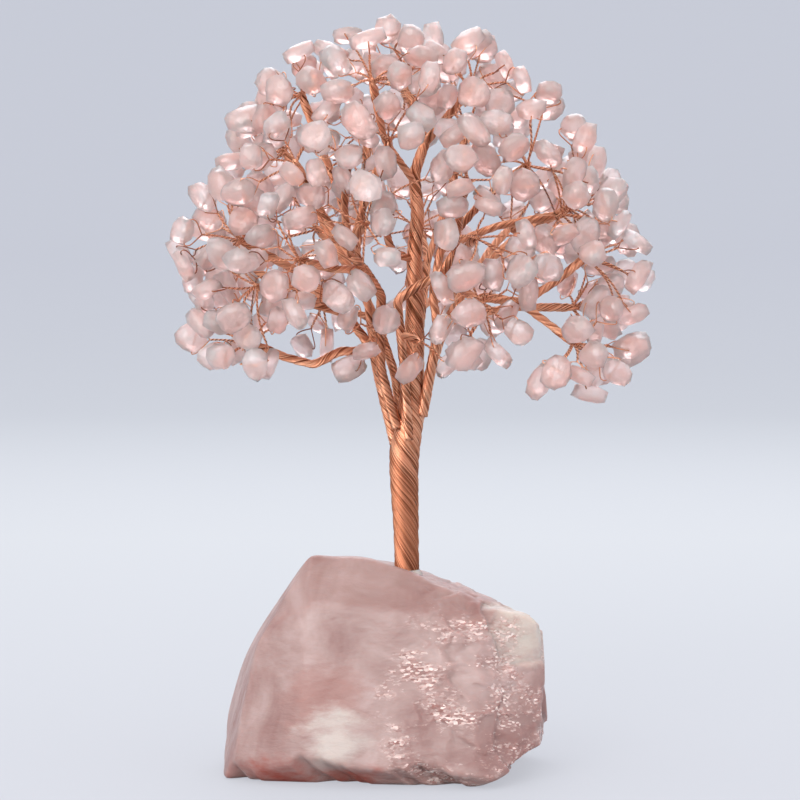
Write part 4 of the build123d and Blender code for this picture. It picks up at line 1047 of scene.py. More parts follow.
# %% [markdown]
# ## Materials
# Rose quartz is clear quartz clouded by very fine pink fibres. Light goes in, wanders and comes out
# again close by, so it looks soft and a little lit from inside. Copper wire is bare metal: it has no
# colour of its own besides its reflections, which it tints orange. Colours are written as they look on
# a screen and are turned to linear light here. Pattern sizes are real sizes in millimetres.

# %% Helpers for materials
def linear(hex_colour):
    """A colour as hex digits turned to linear light, with full alpha."""
    srgb = np.array([int(hex_colour[k:k + 2], 16) for k in (1, 3, 5)]) / 255
    light = np.where(srgb <= 0.04045, srgb / 12.92, ((srgb + 0.055) / 1.055) ** 2.4)
    return (*light.tolist(), 1.0)


def add_node(tree, kind, values=None, links=None, **settings):
    """A shader node with its settings, the values of its sockets and the outputs that feed them."""
    item = tree.nodes.new(f"ShaderNode{kind}")
    for name, value in settings.items():
        setattr(item, name, value)
    for socket, value in (values or {}).items():
        item.inputs[socket].default_value = value
    for socket, source in (links or {}).items():
        tree.links.new(source, item.inputs[socket])
    return item


def new_material(name):
    """An empty material, its node tree and the node that it ends in."""
    material = bpy.data.materials.new(name)
    material.use_nodes = True
    tree = material.node_tree
    tree.nodes.clear()
    return material, tree, add_node(tree, "OutputMaterial")


def set_ramp(ramp_node, stops):
    """The stops of a colour ramp, as (position, hex colour)."""
    stop_list = ramp_node.color_ramp.elements
    while len(stop_list) < len(stops):
        stop_list.new(1.0)
    for stop, (position, colour) in zip(stop_list, stops):
        stop.position = position
        stop.color = linear(colour)


def per_mm(size):
    """The scale of a pattern whose features are about a size in mm, on coordinates in metres."""
    return 1.0 / (size * MM)


print("mid grey in linear light", linear("#808080"))

# %% [markdown]
# ### Tumbled rose quartz
# The chips were tumbled with grit until their edges were round, which leaves a satin skin with shallow
# dents. Light wanders about a centimetre in this stone, more than a chip is thick. So a chip has little
# shade of its own, its rim is bright, and what hangs behind it glows through. Each chip has its own
# depth of pink, from the tone that its points carry, and faint clouds about 6 mm across.

# %% Tumbled rose quartz
def tumbled_rose_quartz():
    """Satin stone that light passes: its own pink, clouds in it, and shallow dents in its skin."""
    material, tree, output = new_material("tumbled_rose_quartz_satin")
    place = add_node(tree, "TexCoord").outputs["Object"]
    tone = add_node(tree, "Attribute", attribute_name="tone").outputs["Fac"]
    clouds = add_node(tree, "TexNoise", {"Scale": per_mm(6.0), "Detail": 4.0, "Distortion": 0.6},
                      {"Vector": place}).outputs["Fac"]
    depth = add_node(tree, "Math", {1: 0.6}, {0: tone}, operation="MULTIPLY").outputs[0]
    depth = add_node(tree, "Math", {1: 0.6}, {0: clouds, 2: depth}, operation="MULTIPLY_ADD").outputs[0]
    pink = add_node(tree, "ValToRGB", links={"Fac": depth})
    set_ramp(pink, [(0.25, "#FFF0ED"), (0.55, "#FFDED8"), (0.85, "#FFCBC2"), (1.0, "#F8B8AC")])
    dents = add_node(tree, "TexNoise", {"Scale": per_mm(3.0), "Detail": 4.0, "Roughness": 0.45},
                     {"Vector": place})
    bump = add_node(tree, "Bump", {"Strength": 0.7, "Distance": 1.1 * MM}, {"Height": dents.outputs["Fac"]})
    shader = add_node(tree, "BsdfPrincipled",
                      {"Roughness": 0.28, "IOR": 1.544, "Transmission Weight": 0.78,
                       "Specular IOR Level": 0.4, "Subsurface Weight": 1.0, "Subsurface Scale": 11.0 * MM,
                       "Subsurface Radius": (1.0, 0.72, 0.68)},
                      {"Base Color": pink.outputs["Color"], "Normal": bump.outputs[0]})
    tree.links.new(shader.outputs[0], output.inputs["Surface"])
    return material


CHIP_STONE = tumbled_rose_quartz()
print("material", CHIP_STONE.name)

# %% [markdown]
# ### Raw rose quartz
# The base is a broken piece of the same stone. Its fracture faces are frosted, some patches are rough
# enough to glitter, partly with painted glints and painted shade between their grains, one patch in front
# is almost white and its right shoulder is pale and yellowish.
# Those patches are places on the stone, so they are balls in object coordinates with a ragged edge. Two
# deep red ones under the front's lower edge are painted shade in its undercut, red like light that has
# passed through the stone.

# %% Patches and streaks
# Patches as (middle, size), and their tints: a deep pink, the pale shoulder, the white patch in front, and
# two red ones at the underside, which are painted shade in the front's undercut, red like light that has
# passed through the stone.
DEEP_PINK = ((-19.0, -20.0, 21.0), 9.0)
PALE_SHOULDER = ((31.0, -8.0, 40.0), 8.5)
WHITE_PATCH = ((-17.0, -22.0, 12.5), 6.5)
UNDERSIDE_LEFT_SHADE = ((-31.0, -20.0, -3.0), 9.0)
UNDERSIDE_MIDDLE_SHADE = ((-12.0, -23.0, -4.0), 8.0)
TINTS_AND_SHADE_PATCHES = [(DEEP_PINK, "#946A62"), (PALE_SHOULDER, "#B8ACA2"), (WHITE_PATCH, "#B3A69F"),
                  (UNDERSIDE_LEFT_SHADE, "#93402F"), (UNDERSIDE_MIDDLE_SHADE, "#93402F")]
ROUGH_PATCHES = ((20.0, -18.0, 20.0), 25.0)

# Streaks run aslant: the pattern is turned by this many degrees and stretched.
STREAK_TILT = 22.0
STREAK_SCALE = (0.6, 1.0, 1.3)

# How far a patch's ragged edge wanders, and how far past the patch's size its fade ends and starts.
RAGGED_REACH = 18.0
PATCH_FADE = (14.0, 5.0)

# A grain's random colour less this is how its face is tilted.
NO_TILT = (0.5, 0.5, 0.5)
print("patches", len(TINTS_AND_SHADE_PATCHES))

# %% Raw rose quartz
def add_patch(tree, place, ragged, centre, size):
    """1 inside a ball of a size in mm round a centre, fading over a ragged edge to 0 outside."""
    apart = add_node(tree, "VectorMath", {1: [c * MM for c in centre]}, {0: place}, operation="DISTANCE")
    reach = add_node(tree, "Math", {1: RAGGED_REACH * MM}, {0: ragged, 2: apart.outputs["Value"]},
                     operation="MULTIPLY_ADD")
    outer, inner = ((size + more) * MM for more in PATCH_FADE)
    fade = add_node(tree, "MapRange", {"From Min": outer, "From Max": inner},
                    {"Value": reach.outputs[0]}, interpolation_type="SMOOTHSTEP")
    return fade.outputs["Result"]


def patched_pink(tree, place, ragged):
    """Pink clouds about 20 mm across, with the tinted patches laid over them one by one. Two are painted
    shade at the underside.
    """
    clouds = add_node(tree, "TexNoise", {"Scale": per_mm(20.0), "Detail": 4.0, "Roughness": 0.6,
                                         "Distortion": 0.6}, {"Vector": place}).outputs["Fac"]
    pink = add_node(tree, "ValToRGB", links={"Fac": clouds})
    set_ramp(pink, [(0.32, "#AC938E"), (0.5, "#997C76"), (0.66, "#89645E")])
    colour = pink.outputs["Color"]
    for patch, tint in TINTS_AND_SHADE_PATCHES:
        amount = add_patch(tree, place, ragged, *patch)
        mix = add_node(tree, "Mix", {7: linear(tint)}, {0: amount, 6: colour}, data_type="RGBA")
        colour = mix.outputs[2]
    return colour


def where_rough(tree, place, streaked, ragged):
    """1 in the blotches of the rough patches, about 8 mm across, and 0 elsewhere."""
    blotches = add_node(tree, "TexNoise", {"Scale": per_mm(8.0), "Detail": 6.0, "Roughness": 0.7},
                        {"Vector": streaked}).outputs["Fac"]
    blotchy = add_node(tree, "MapRange", {"From Min": 0.48, "From Max": 0.6}, {"Value": blotches})
    patch = add_patch(tree, place, ragged, *ROUGH_PATCHES)
    return add_node(tree, "Math", {}, {0: blotchy.outputs["Result"], 1: patch},
                    operation="MULTIPLY").outputs[0]


def grain_facing(tree, skin, grains, rough):
    """The skin's normal, tilted grain by grain: skin + rough . (grain's colour - NO_TILT), at length 1."""
    tilt = add_node(tree, "VectorMath", {1: NO_TILT}, {0: grains.outputs["Color"]},
                    operation="SUBTRACT").outputs[0]
    tilt = add_node(tree, "VectorMath", {}, {0: tilt, "Scale": rough}, operation="SCALE").outputs[0]
    facing = add_node(tree, "VectorMath", {}, {0: skin, 1: tilt}, operation="ADD").outputs[0]
    return add_node(tree, "VectorMath", {}, {0: facing}, operation="NORMALIZE").outputs[0]


def grain_shade_and_glints(tree, colour, grains, rough):
    """Where it is rough, darker between the grains as painted shade, and some of the grains almost white as
    painted glints.
    """
    # Painted shade: darker towards the edges of the grains, in the creases between them.
    crease_shade = add_node(tree, "Math", {}, {0: rough, 1: grains.outputs["Distance"]}, operation="MULTIPLY")
    mix = add_node(tree, "Mix", {7: linear("#A37A72")}, {0: crease_shade.outputs[0], 6: colour}, data_type="RGBA")
    # Painted glints: a share of the grains, picked by their random colour, is mixed almost to white.
    chance = add_node(tree, "SeparateColor", links={"Color": grains.outputs["Color"]}).outputs["Red"]
    painted_glint = add_node(tree, "MapRange", {"From Min": 0.6, "From Max": 0.95},
                      {"Value": chance, "To Max": rough})
    mix = add_node(tree, "Mix", {7: linear("#EAD6CF")}, {0: painted_glint.outputs["Result"], 6: mix.outputs[2]},
                   data_type="RGBA")
    return mix.outputs[2]


def raw_rose_quartz():
    """Broken stone: pink clouds, the patches, and grains that each face their own way where it is rough,
    with painted shade and glints.
    """
    material, tree, output = new_material("raw_rose_quartz_broken")
    place = add_node(tree, "TexCoord").outputs["Object"]
    streaked = add_node(tree, "Mapping", {"Rotation": (0.0, np.radians(STREAK_TILT), 0.0),
                                          "Scale": STREAK_SCALE}, {"Vector": place}).outputs[0]
    ragged = add_node(tree, "TexNoise", {"Scale": per_mm(6.0), "Detail": 5.0, "Roughness": 0.62},
                      {"Vector": streaked}).outputs["Fac"]
    rough = where_rough(tree, place, streaked, ragged)
    grains = add_node(tree, "TexVoronoi", {"Scale": per_mm(0.6)}, {"Vector": streaked})
    colour = grain_shade_and_glints(tree, patched_pink(tree, place, ragged), grains, rough)
    waves = add_node(tree, "TexNoise", {"Scale": per_mm(4.0), "Detail": 4.0, "Roughness": 0.5},
                     {"Vector": streaked}).outputs["Fac"]
    skin = add_node(tree, "Bump", {"Strength": 0.6, "Distance": 1.0 * MM}, {"Height": waves}).outputs[0]
    facing = grain_facing(tree, skin, grains, rough)
    frost = add_node(tree, "MapRange", {"To Min": 0.45, "To Max": 0.16}, {"Value": rough})
    shader = add_node(tree, "BsdfPrincipled",
                      {"IOR": 1.544, "Subsurface Weight": 0.9, "Subsurface Scale": 4.0 * MM,
                       "Subsurface Radius": (1.0, 0.65, 0.6)},
                      {"Base Color": colour, "Normal": facing, "Roughness": frost.outputs["Result"]})
    tree.links.new(shader.outputs[0], output.inputs["Surface"])
    return material


BASE_STONE = raw_rose_quartz()
print("material", BASE_STONE.name)

# %% [markdown]
# ### Drawn copper wire
# The wire was drawn through a die, which leaves it bright and smooth. Handling has dulled some wires
# much more than others, so each wire's tone sets how brown it is, and the core in the grooves is painted
# the brownest, as shade. The lower trunk is painted darker as shade, and what is above the fork lighter.

# %% Drawn copper wire
# The heights between which the painted shade of the lower trunk ends, and what the tones are multiplied by
# below and above: darker below as painted shade, lighter above as painted light.
TRUNK_SHADE_HEIGHTS = (72.0, 92.0)
TRUNK_SHADE_SHARE = (0.55, 1.35)


def drawn_copper():
    """Bare metal: each wire's own brown, painted shade on the lower trunk with painted light above the fork,
    and uneven polish.
    """
    material, tree, output = new_material("copper_wire_drawn")
    place = add_node(tree, "TexCoord").outputs["Object"]
    tone = add_node(tree, "Attribute", attribute_name="tone").outputs["Fac"]
    height = add_node(tree, "SeparateXYZ", links={0: place}).outputs["Z"]
    # Painted shade: the tones are darkened on the lower trunk and lightened above the fork.
    lower, upper = (z * MM for z in TRUNK_SHADE_HEIGHTS)
    kept = add_node(tree, "MapRange", {"From Min": lower, "From Max": upper, "To Min": TRUNK_SHADE_SHARE[0],
                                       "To Max": TRUNK_SHADE_SHARE[1]}, {"Value": height}).outputs["Result"]
    tone = add_node(tree, "Math", {}, {0: tone, 1: kept}, operation="MULTIPLY").outputs[0]
    colour = add_node(tree, "ValToRGB", links={"Fac": tone})
    set_ramp(colour, [(0.0, "#864C36"), (0.25, "#B47758"), (0.55, "#D08F6F"), (1.0, "#E8B191")])
    dull = add_node(tree, "TexNoise", {"Scale": per_mm(4.0), "Detail": 3.0}, {"Vector": place})
    rough = add_node(tree, "MapRange", {"To Min": 0.2, "To Max": 0.42}, {"Value": dull.outputs["Fac"]})
    shader = add_node(tree, "BsdfPrincipled", {"Metallic": 1.0},
                      {"Base Color": colour.outputs["Color"], "Roughness": rough.outputs["Result"]})
    tree.links.new(shader.outputs[0], output.inputs["Surface"])
    return material


COPPER = drawn_copper()
print("material", COPPER.name)

# %% [markdown]
# ### Clear resin
# A little cast resin fills the drilled hole and holds the trunk. It dries clear and glossy.

# %% Clear resin
def cast_resin():
    """Clear resin with a faint haze."""
    material, tree, output = new_material("epoxy_resin_cast")
    place = add_node(tree, "TexCoord").outputs["Object"]
    haze = add_node(tree, "TexNoise", {"Scale": per_mm(1.5), "Detail": 2.0}, {"Vector": place})
    colour = add_node(tree, "ValToRGB", links={"Fac": haze.outputs["Fac"]})
    set_ramp(colour, [(0.3, "#E9D2CB"), (0.7, "#F2E6DF")])
    shader = add_node(tree, "BsdfPrincipled",
                      {"Roughness": 0.12, "IOR": 1.55, "Transmission Weight": 0.6, "Subsurface Weight": 0.3,
                       "Subsurface Scale": 1.0 * MM}, {"Base Color": colour.outputs["Color"]})
    tree.links.new(shader.outputs[0], output.inputs["Surface"])
    return material


RESIN = cast_resin()
print("material", RESIN.name)

# %% [markdown]
# ## The tumbled chips
# Tumbling rounds every edge, so a chip is the body behind its planes with soft edges. In a direction u
# its surface lies at r(u) = (sum over planes of (max(u . n, 0) / d) ^ p) ^ (-1/p): with a large power p
# only the nearest plane counts, and with a smaller one the planes melt into each other at the edges. Then
# every point sinks in by up to a tenth of its reach, because no two chips wear to the same lump. All
# the chips of a spray are one array. There are hundreds of them, so each has only a few dozen faces.

# %% Rounded bodies on a globe of directions
CHIP_POWER = 32.0
CHIP_WEAR = 0.1
CHIP_AROUND = 10
CHIP_ROWS = 5

# The directions are stretched like the chip, so that its points are spread evenly over it.
CHIP_STRETCH = (1.45, 1.2, 0.8)


def globe(around, rows):
    """Directions on a sphere, from pole to pole in rows of as many as go around, and their faces."""
    turn = 2 * np.pi * np.arange(around) / around
    fall = (np.pi * np.arange(1, rows + 1) / (rows + 1))[:, None]
    height = np.cos(fall) + 0 * turn
    ring = np.stack([np.sin(fall) * np.cos(turn), np.sin(fall) * np.sin(turn), height], axis=-1)
    directions = np.vstack([[(0.0, 0.0, 1.0)], ring.reshape(-1, 3), [(0.0, 0.0, -1.0)]])
    index = 1 + np.arange(rows * around).reshape(rows, around)
    after = np.roll(index, -1, axis=1)
    bands = np.stack([index[:-1], index[1:], after[1:], after[:-1]], axis=-1).reshape(-1, 4)
    pole = np.zeros(around, int)
    top = np.stack([pole, index[0], after[0]], axis=-1)
    bottom = np.stack([pole + rows * around + 1, after[-1], index[-1]], axis=-1)
    return directions, bands, np.vstack([top, bottom])


def rounded(directions, normals, offsets, power):
    """How far the rounded body reaches in each direction. offsets may differ between directions."""
    slope = np.maximum(np.einsum("...gk,...pk->...gp", directions, normals), 0.0) / offsets
    return (slope ** power).sum(axis=-1) ** (-1.0 / power)


def chips_of(spray):
    """All the chips of a spray: points, faces and tones."""
    held = [chip for chip in hanging if chip["spray"] == spray]
    unit_ball, bands, fans = globe(CHIP_AROUND, CHIP_ROWS)
    normals = np.array([chip["normals"] for chip in held])
    through = normals[:, 0]
    across = np.array([chip["across"] for chip in held])
    along = np.cross(across, through)
    stretched = unit_ball * CHIP_STRETCH
    axes = np.stack([along, across, through], axis=1)
    directions = unit(np.einsum("gk,nkj->ngj", stretched, axes))
    offsets = np.array([chip["offsets"] for chip in held])[:, None]
    reach = rounded(directions, normals, offsets, CHIP_POWER)
    reach *= 1.0 - wear.uniform(0.0, CHIP_WEAR, reach.shape)
    middles = np.array([chip["middle"] for chip in held])[:, None]
    points = middles + reach[..., None] * directions
    start = len(unit_ball) * np.arange(len(held))[:, None, None]
    faces = (bands + start).reshape(-1, 4).tolist() + (fans + start).reshape(-1, 3).tolist()
    tones = np.repeat([chip["tone"] for chip in held], len(unit_ball))
    return points.reshape(-1, 3), faces, tones


print("points of a chip", len(globe(CHIP_AROUND, CHIP_ROWS)[0]))

# %% Hanging the chips
# The mean and the spread of the chips' tones, from pale to deep pink.
CHIP_TONE = (0.43, 0.14)
SHADE_SEED = 11
shades = np.random.default_rng(SHADE_SEED)
wear = np.random.default_rng(SHADE_SEED + 1)
for chip in hanging:
    chip["tone"] = float(np.clip(shades.normal(*CHIP_TONE), 0.0, 1.0))
for limb_name, limb in LIMBS.items():
    for spray, branch in limb["branches"]:
        points, faces, tones = chips_of(spray)
        add_piece(f"stones_{spray}", points, faces, body_of(limb_name), f"chips_{spray}",
                  CHIP_STONE, tones)

# %% [markdown]
# ## The twigs
# A twig is one wire. It goes out, round the chip through its drilled hole, and back, and both halves are
# twisted together up to where they fork behind the chip. So it has two kinds of tube: the twisted pair,
# which turns once every 1.25 mm, and the single wire of the loop. One half of the pair is painted light
# and the other painted shade, as if it lay in the other's shadow, so a twig looks dashed.

# %% Twisting the twigs
TWIST_PITCH = 1.25
PAIR_RINGS = 48
LOOP_RINGS = 24
LOOP_ROUNDING = 9
FINER = 3

# Ranges of the tones of a twig's two halves: the lit half is painted light, the other painted shade.
LIT_HALF = (0.45, 0.9)
SHADED_HALF = (0.0, 0.3)


def twisted_pairs(chips):
    """Two wires round each twig's middle line, a parabola through its three points, half a turn apart."""
    share = np.linspace(0.0, 1.0, PAIR_RINGS)[:, None]
    start, bend, end = (np.array([chip["path"][k] for chip in chips])[:, None] for k in range(3))
    line = (1 - share) * (1 - 2 * share) * start + 4 * share * (1 - share) * bend
    line += share * (2 * share - 1) * end
    way = unit(np.gradient(line, axis=1))
    across = np.array([chip["across"] for chip in chips])[:, None]
    first = unit(across - (across * way).sum(axis=-1, keepdims=True) * way)
    second = np.cross(way, first)
    length = np.linalg.norm(end - start, axis=-1)[..., None]
    angle = 2 * np.pi * length / TWIST_PITCH * (1 - share)
    outward = np.cos(angle) * first + np.sin(angle) * second
    outward = np.concatenate([outward, -outward])
    centres = np.concatenate([line, line]) + PAIR_HALF_GAP * outward
    # Painted light and shade: one wire of each pair is toned lit, the other toned as if in its shadow.
    lit_and_shaded = np.concatenate([shades.uniform(*half, len(chips)) for half in (LIT_HALF, SHADED_HALF)])
    return tubes(centres, outward, WIRE_RADIUS, WIRE_SIDES, lit_and_shaded)


def loops(chips):
    """The single wire from the fork round each chip, its corners rounded, and back to the fork."""
    lines = []
    for chip in chips:
        fork = chip["path"][-1]
        corners = np.vstack([fork, chip["loop"], fork])
        along = length_along(corners)
        fine = np.linspace(0.0, along[-1], FINER * LOOP_RINGS)
        line = evened(at_lengths(fine, along, corners), LOOP_ROUNDING)
        lines.append(line[np.linspace(0, len(line) - 1, LOOP_RINGS).astype(int)])
    upright = np.array([np.cross(chip["toward"], chip["across"]) for chip in chips])[:, None]
    normals = np.repeat(upright, LOOP_RINGS, axis=1)
    return tubes(np.array(lines), normals, WIRE_RADIUS, WIRE_SIDES, shades.uniform(0, 1, len(chips)))


for limb_name in LIMBS:
    held = [chip for chip in hanging if chip["limb"] == limb_name]
    points, faces, tones = join([twisted_pairs(held), loops(held)])
    add_piece(f"twisted_twigs_{limb_name}", points, faces, body_of(limb_name), f"twigs_{limb_name}",
              COPPER, tones)

# %% [markdown]
# ## The limbs and the trunk
# Each limb is the wires of its sprays wound into one bundle, which splits again and again towards the
# sprays. A branch ends in a knot where its wires spread as twigs, so its path runs on into the knot and
# narrows there.

# %% Winding the limbs
# A lay is the wires' slant in degrees, at shares of the way along the bundle.
LIMB_LAY = [(0.0, 40.0), (1.0, 36.0)]
BRANCH_LAY = [(0.0, 34.0), (1.0, 34.0)]
TRUNK_LAY = [(0.0, 28.0), (0.2, 34.0), (0.42, 50.0), (0.6, 38.0), (1.0, 36.0)]
SPRAY_GROUPS = 3

# At its knot a branch swells and closes: by this share of the knot's radius, with stops at these distances
# from the knot's middle, and to this radius at its tip.
KNOT_SWELL = 1.05
KNOT_STOPS = (-1.4, 0.2, 1.3)
KNOT_TIP = 0.5


def to_knot(points):
    """A branch's path, run on a little past its knot's middle and narrowed at its end."""
    end, before = np.array(points[-1][:3]), np.array(points[-2][:3])
    way = unit(end - before)
    radii = (KNOT_RADIUS * KNOT_SWELL, KNOT_RADIUS * KNOT_SWELL, KNOT_TIP)
    return [*points[:-1], *((*(end + stop * way), radius) for stop, radius in zip(KNOT_STOPS, radii))]


def limb_piece(limb_name, trunk_path, lay):
    """A limb's bundle and its branches, all wound, as one piece. Its draws start from its name."""
    draw = np.random.default_rng(sum(map(ord, limb_name)))
    parts = wound_wires(trunk_path, lay, draw)
    for spray, points in LIMBS[limb_name]["branches"]:
        parts += wound_wires(to_knot(points), BRANCH_LAY, draw, groups=SPRAY_GROUPS)
    return join(parts)


for limb_name, limb in LIMBS.items():
    if limb_name == "leader":
        points, faces, tones = limb_piece("leader", TRUNK[:-1] + LEADER, TRUNK_LAY)
        add_piece("wound_trunk", points, faces, "trunk", "trunk", COPPER, tones)
    else:
        points, faces, tones = limb_piece(limb_name, limb["bundle"], LIMB_LAY)
        add_piece(f"wound_limb_{limb_name}", points, faces, body_of(limb_name), f"limb_{limb_name}",
                  COPPER, tones)

# %% [markdown]
# ## The base
# Rose quartz has no crystal faces. It breaks in large, slightly wavy fracture faces with sharp edges. The
# large faces are the planes of the solid model, and a few slow swells make them wavy. On the right half
# the crack changed its level often, which left small steps. They are cells: each has a plane of its own,
# tilted a little, and where two cells meet their planes blend over a short way. The lower edges are
# wavy too, since the crack that made the resting face ran out there.

# %% Breaking the stone
STONE_AROUND = 330
STONE_ROWS = 235
STONE_POWER = 60.0
STONE_SEED = 5

# Swells as (height, length). They start anywhere in the first SWELL_STARTS radians.
SWELLS = [(0.5, 23.0), (0.35, 14.0), (0.2, 8.0)]
SWELL_STARTS = 6.0

# Steps as (how many cells, their size, the spread of their slopes, the greatest height, where they start
# along X). They fade in over STEP_FADE, and a cell blends with the next over a third of its size. The
# points are worked out in SHARES, to save memory.
STEP_LEVELS = [(90, 8.0, 0.12, 0.9, 12.0), (1100, 2.6, 0.14, 0.3, 2.0)]
STEP_FADE = 14.0
CELL_BLEND = 3.0
SHARES = 40

# The planes of the two lower edges, and their waves as (share of the plane's distance, rate, start).
# The relief ends in the last FOOT above the ground.
LOWER_EDGES = (7, 14)
EDGE_WAVES = [(0.06, 0.21, 0.4), (0.018, 0.47, 1.9), (0.012, 0.93, 0.8)]
FOOT = 2.0


def stone_planes():
    """Normals of the stone's large faces and their distances from its middle."""
    normals = np.array([from_angles(azimuth, elevation) for azimuth, elevation, point in STONE_PLANES])
    points = np.array([point for azimuth, elevation, point in STONE_PLANES])
    return normals, ((points - STONE_MIDDLE) * normals).sum(axis=1)


def cell_steps(points, seeds, slopes, blend, limit):
    """Heights of tilted cells: slope . (point - seed) of the nearest seeds, weighted by nearness."""
    height = np.zeros(len(points), np.float32)
    for some in np.array_split(np.arange(len(points)), SHARES):
        apart = points[some, None] - seeds[None]
        square = (apart ** 2).sum(axis=-1)
        weight = np.exp(-(square - square.min(axis=1, keepdims=True)) / blend ** 2)
        tilt = np.clip((apart * slopes[None]).sum(axis=-1), -limit, limit)
        height[some] = (weight * tilt).sum(axis=1) / weight.sum(axis=1)
    return height


def broken_stone():
    """The stone's points and faces: large planes with soft edges, less the swells and the steps."""
    directions, bands, fans = globe(STONE_AROUND, STONE_ROWS)
    normals, offsets = stone_planes()
    surface = directions * rounded(directions, normals, offsets, STONE_POWER)[:, None]
    along = surface[:, 0] - surface[:, 1]
    waves = sum(size * np.sin(rate * along + start) for size, rate, start in EDGE_WAVES)
    wavy = np.repeat(offsets[None], len(directions), axis=0)
    wavy[:, LOWER_EDGES] *= 1.0 - np.maximum(waves, 0.0)[:, None]
    reach = rounded(directions, normals, wavy, STONE_POWER)
    surface = (directions * reach[:, None]).astype(np.float32)
    draw = np.random.default_rng(STONE_SEED)
    lowered = np.zeros(len(surface))
    for height, length in SWELLS:
        way = unit(draw.normal(0, 1, 3))
        start = draw.uniform(0, SWELL_STARTS)
        lowered += height / 2 * (1 + np.cos(2 * np.pi * surface @ way / length + start))
    for count, size, slope, limit, start in STEP_LEVELS:
        seeds = surface[draw.integers(0, len(surface), count)].astype(np.float32)
        slopes = draw.normal(0, slope, (count, 3)).astype(np.float32)
        there = np.clip((surface[:, 0] - start) / STEP_FADE, 0.0, 1.0)
        lowered += there * (limit / 2 - cell_steps(surface, seeds, slopes, size / CELL_BLEND, limit))
    keep = np.clip((surface[:, 2] + STONE_MIDDLE[2]) / FOOT, 0.0, 1.0)
    points = STONE_MIDDLE + surface - directions * (np.maximum(lowered, 0.0) * keep)[:, None]
    points[:, 2] = np.maximum(points[:, 2], 0.0)
    return points, bands.tolist() + fans.tolist()


points, faces = broken_stone()
add_piece("raw_stone", points, faces, "trunk", "base_stone", BASE_STONE)

# %% [markdown]
# ## The resin
# The resin's solid is already right, so it stays and only gets its material.

# %% The resin
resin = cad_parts["resin_seat"]
resin.data.materials.clear()
resin.data.materials.append(RESIN)

# %% [markdown]
# ## Floor, backdrop and light
# The tree stands on a pale sheet that curves up behind it, so no edge shows. The sheet is a little bluer
# and darker towards the top, as in the photograph. The light is soft: a bright sky colour from all
# round, a large lamp at the upper left in front, and a weaker one behind that shines through the chips.
# Where the sheet ends, the camera sees a calmer sky than the one that lights the tree, so nothing glares.

# %% The sheet
SHEET_FRONT = -1400.0
SHEET_BACK = 1500.0
SHEET_CURVE = 500.0
SHEET_HEIGHT = 1600.0
SHEET_HALF_WIDTH = 2200.0
CURVE_ROWS = 24
SHEET_COLUMNS = 5
FLAT_ROWS = (-300.0, 400.0)

# The paper's painted tone runs over this range of Y + Z in metres. The camera sees this share of it as that
# painted light, bluer and darker towards the top.
TONE_RANGE = (-0.2, 1.8)
PAINTED_LIGHT_SHARE = 0.65


def curved_sheet():
    """A floor, a quarter circle and a wall in one profile, carried straight along X."""
    angle = np.linspace(0.0, np.pi / 2, CURVE_ROWS)
    floor = np.array([(y, 0.0) for y in (SHEET_FRONT, *FLAT_ROWS)])
    curve = np.stack([SHEET_BACK - SHEET_CURVE + SHEET_CURVE * np.sin(angle),
                      SHEET_CURVE * (1 - np.cos(angle))], axis=1)
    profile = np.vstack([floor, curve, [(SHEET_BACK, SHEET_HEIGHT)]])
    sides = np.linspace(-SHEET_HALF_WIDTH, SHEET_HALF_WIDTH, SHEET_COLUMNS)
    points = np.array([(x, y, z) for y, z in profile for x in sides])
    index = np.arange(len(points)).reshape(len(profile), len(sides))
    faces = np.stack([index[:-1, :-1], index[:-1, 1:], index[1:, 1:], index[1:, :-1]], axis=-1)
    return points, faces.reshape(-1, 4).tolist()


def paper_material():
    """Matt paper. The camera sees most of it as painted light, an emitted tone that grows bluer and darker
    towards the top, and the rest as the light falls on it.
    """
    material, tree, output = new_material("backdrop_paper_matt")
    place = add_node(tree, "TexCoord").outputs["Object"]
    parts = add_node(tree, "SeparateXYZ", links={0: place}).outputs
    way = add_node(tree, "Math", {}, {0: parts["Y"], 1: parts["Z"]}, operation="ADD").outputs[0]
    low, high = TONE_RANGE
    share = add_node(tree, "MapRange", {"From Min": low, "From Max": high}, {"Value": way}).outputs["Result"]
    tone = add_node(tree, "ValToRGB", links={"Fac": share})
    set_ramp(tone, [(0.1, "#DBDDE6"), (0.33, "#E2E5EB"), (0.57, "#D7DBE4"), (0.78, "#C8CBD8")])
    matt = add_node(tree, "BsdfDiffuse", {"Color": linear("#B4B6BA")})
    # Painted light: for the camera the sheet glows in its tone, bluer and darker towards the top.
    painted_glow = add_node(tree, "Emission", links={"Color": tone.outputs["Color"]})
    seen = add_node(tree, "LightPath").outputs["Is Camera Ray"]
    amount = add_node(tree, "Math", {1: PAINTED_LIGHT_SHARE}, {0: seen}, operation="MULTIPLY").outputs[0]
    both = add_node(tree, "MixShader", {}, {0: amount, 1: matt.outputs[0], 2: painted_glow.outputs[0]})
    tree.links.new(both.outputs[0], output.inputs["Surface"])
    return material


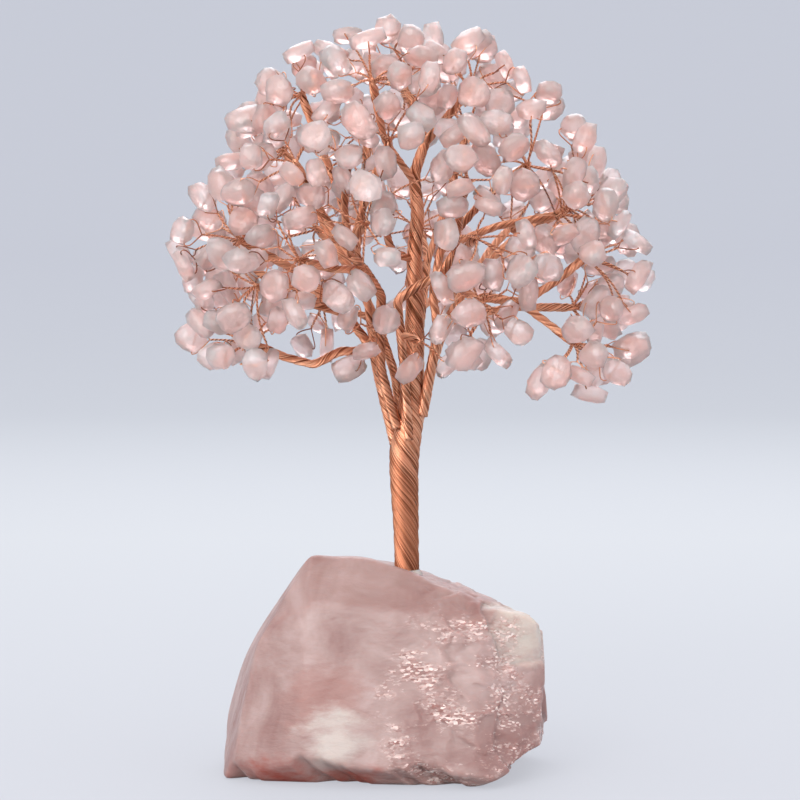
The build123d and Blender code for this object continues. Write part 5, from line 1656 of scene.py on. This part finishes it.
mesh = bpy.data.meshes.new("paper_sheet")
sheet_points, sheet_faces = curved_sheet()
mesh.from_pydata((sheet_points * MM).tolist(), [], sheet_faces)
mesh.polygons.foreach_set("use_smooth", np.ones(len(mesh.polygons), bool))
mesh.materials.append(paper_material())
sheet = bpy.data.objects.new("paper_sheet", mesh)
scene.collection.objects.link(sheet)
sheet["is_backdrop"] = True
print("sheet faces", len(mesh.polygons))

# %% The lamps and the sky
# The sky's strength on the tree, and the one that the camera sees. A lamp is (name, place, width in mm,
# power in watts, colour).
SKY_COLOUR = "#F1F4FA"
SKY_STRENGTH = 1.56
SKY_SEEN = 0.78
LIT_MIDDLE = (0.0, 0.0, 100.0)
LAMPS = [("key_lamp", (-260.0, -780.0, 430.0), 700.0, 5.9, "#FFFCF8"),
         ("back_lamp", (60.0, 620.0, 640.0), 620.0, 3.6, "#F8F9FF")]


def add_lamp(name, place, width, watts, colour):
    """A square soft lamp in mm that shines at the middle of the tree."""
    data = bpy.data.lights.new(name, "AREA")
    data.size = width * MM
    data.energy = watts
    data.color = linear(colour)[:3]
    lamp = bpy.data.objects.new(name, data)
    scene.collection.objects.link(lamp)
    lamp.location = [c * MM for c in place]
    aim = Vector([c * MM for c in LIT_MIDDLE]) - lamp.location
    lamp.rotation_euler = aim.to_track_quat("-Z", "Y").to_euler()
    return lamp


lamps = [add_lamp(*lamp) for lamp in LAMPS]
world = bpy.data.worlds.new("soft_sky")
world.use_nodes = True
sky = world.node_tree.nodes["Background"]
sky.inputs["Color"].default_value = linear(SKY_COLOUR)
looked_at = add_node(world.node_tree, "LightPath").outputs["Is Camera Ray"]
strength = add_node(world.node_tree, "MapRange", {"To Min": SKY_STRENGTH, "To Max": SKY_SEEN},
                    {"Value": looked_at}).outputs["Result"]
world.node_tree.links.new(strength, sky.inputs["Strength"])
scene.world = world
scene.view_settings.view_transform = "Standard"
print("lamps", [lamp.name for lamp in lamps])

# %% [markdown]
# ## The two boxes
# The dressed model must be as large as the solid one. Both boxes are printed.

# %% Sizes and finish
boxes = [[[round(v, 5) for v in corner] for corner in box] for box in (cad_box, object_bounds())]
print("boxes", boxes)
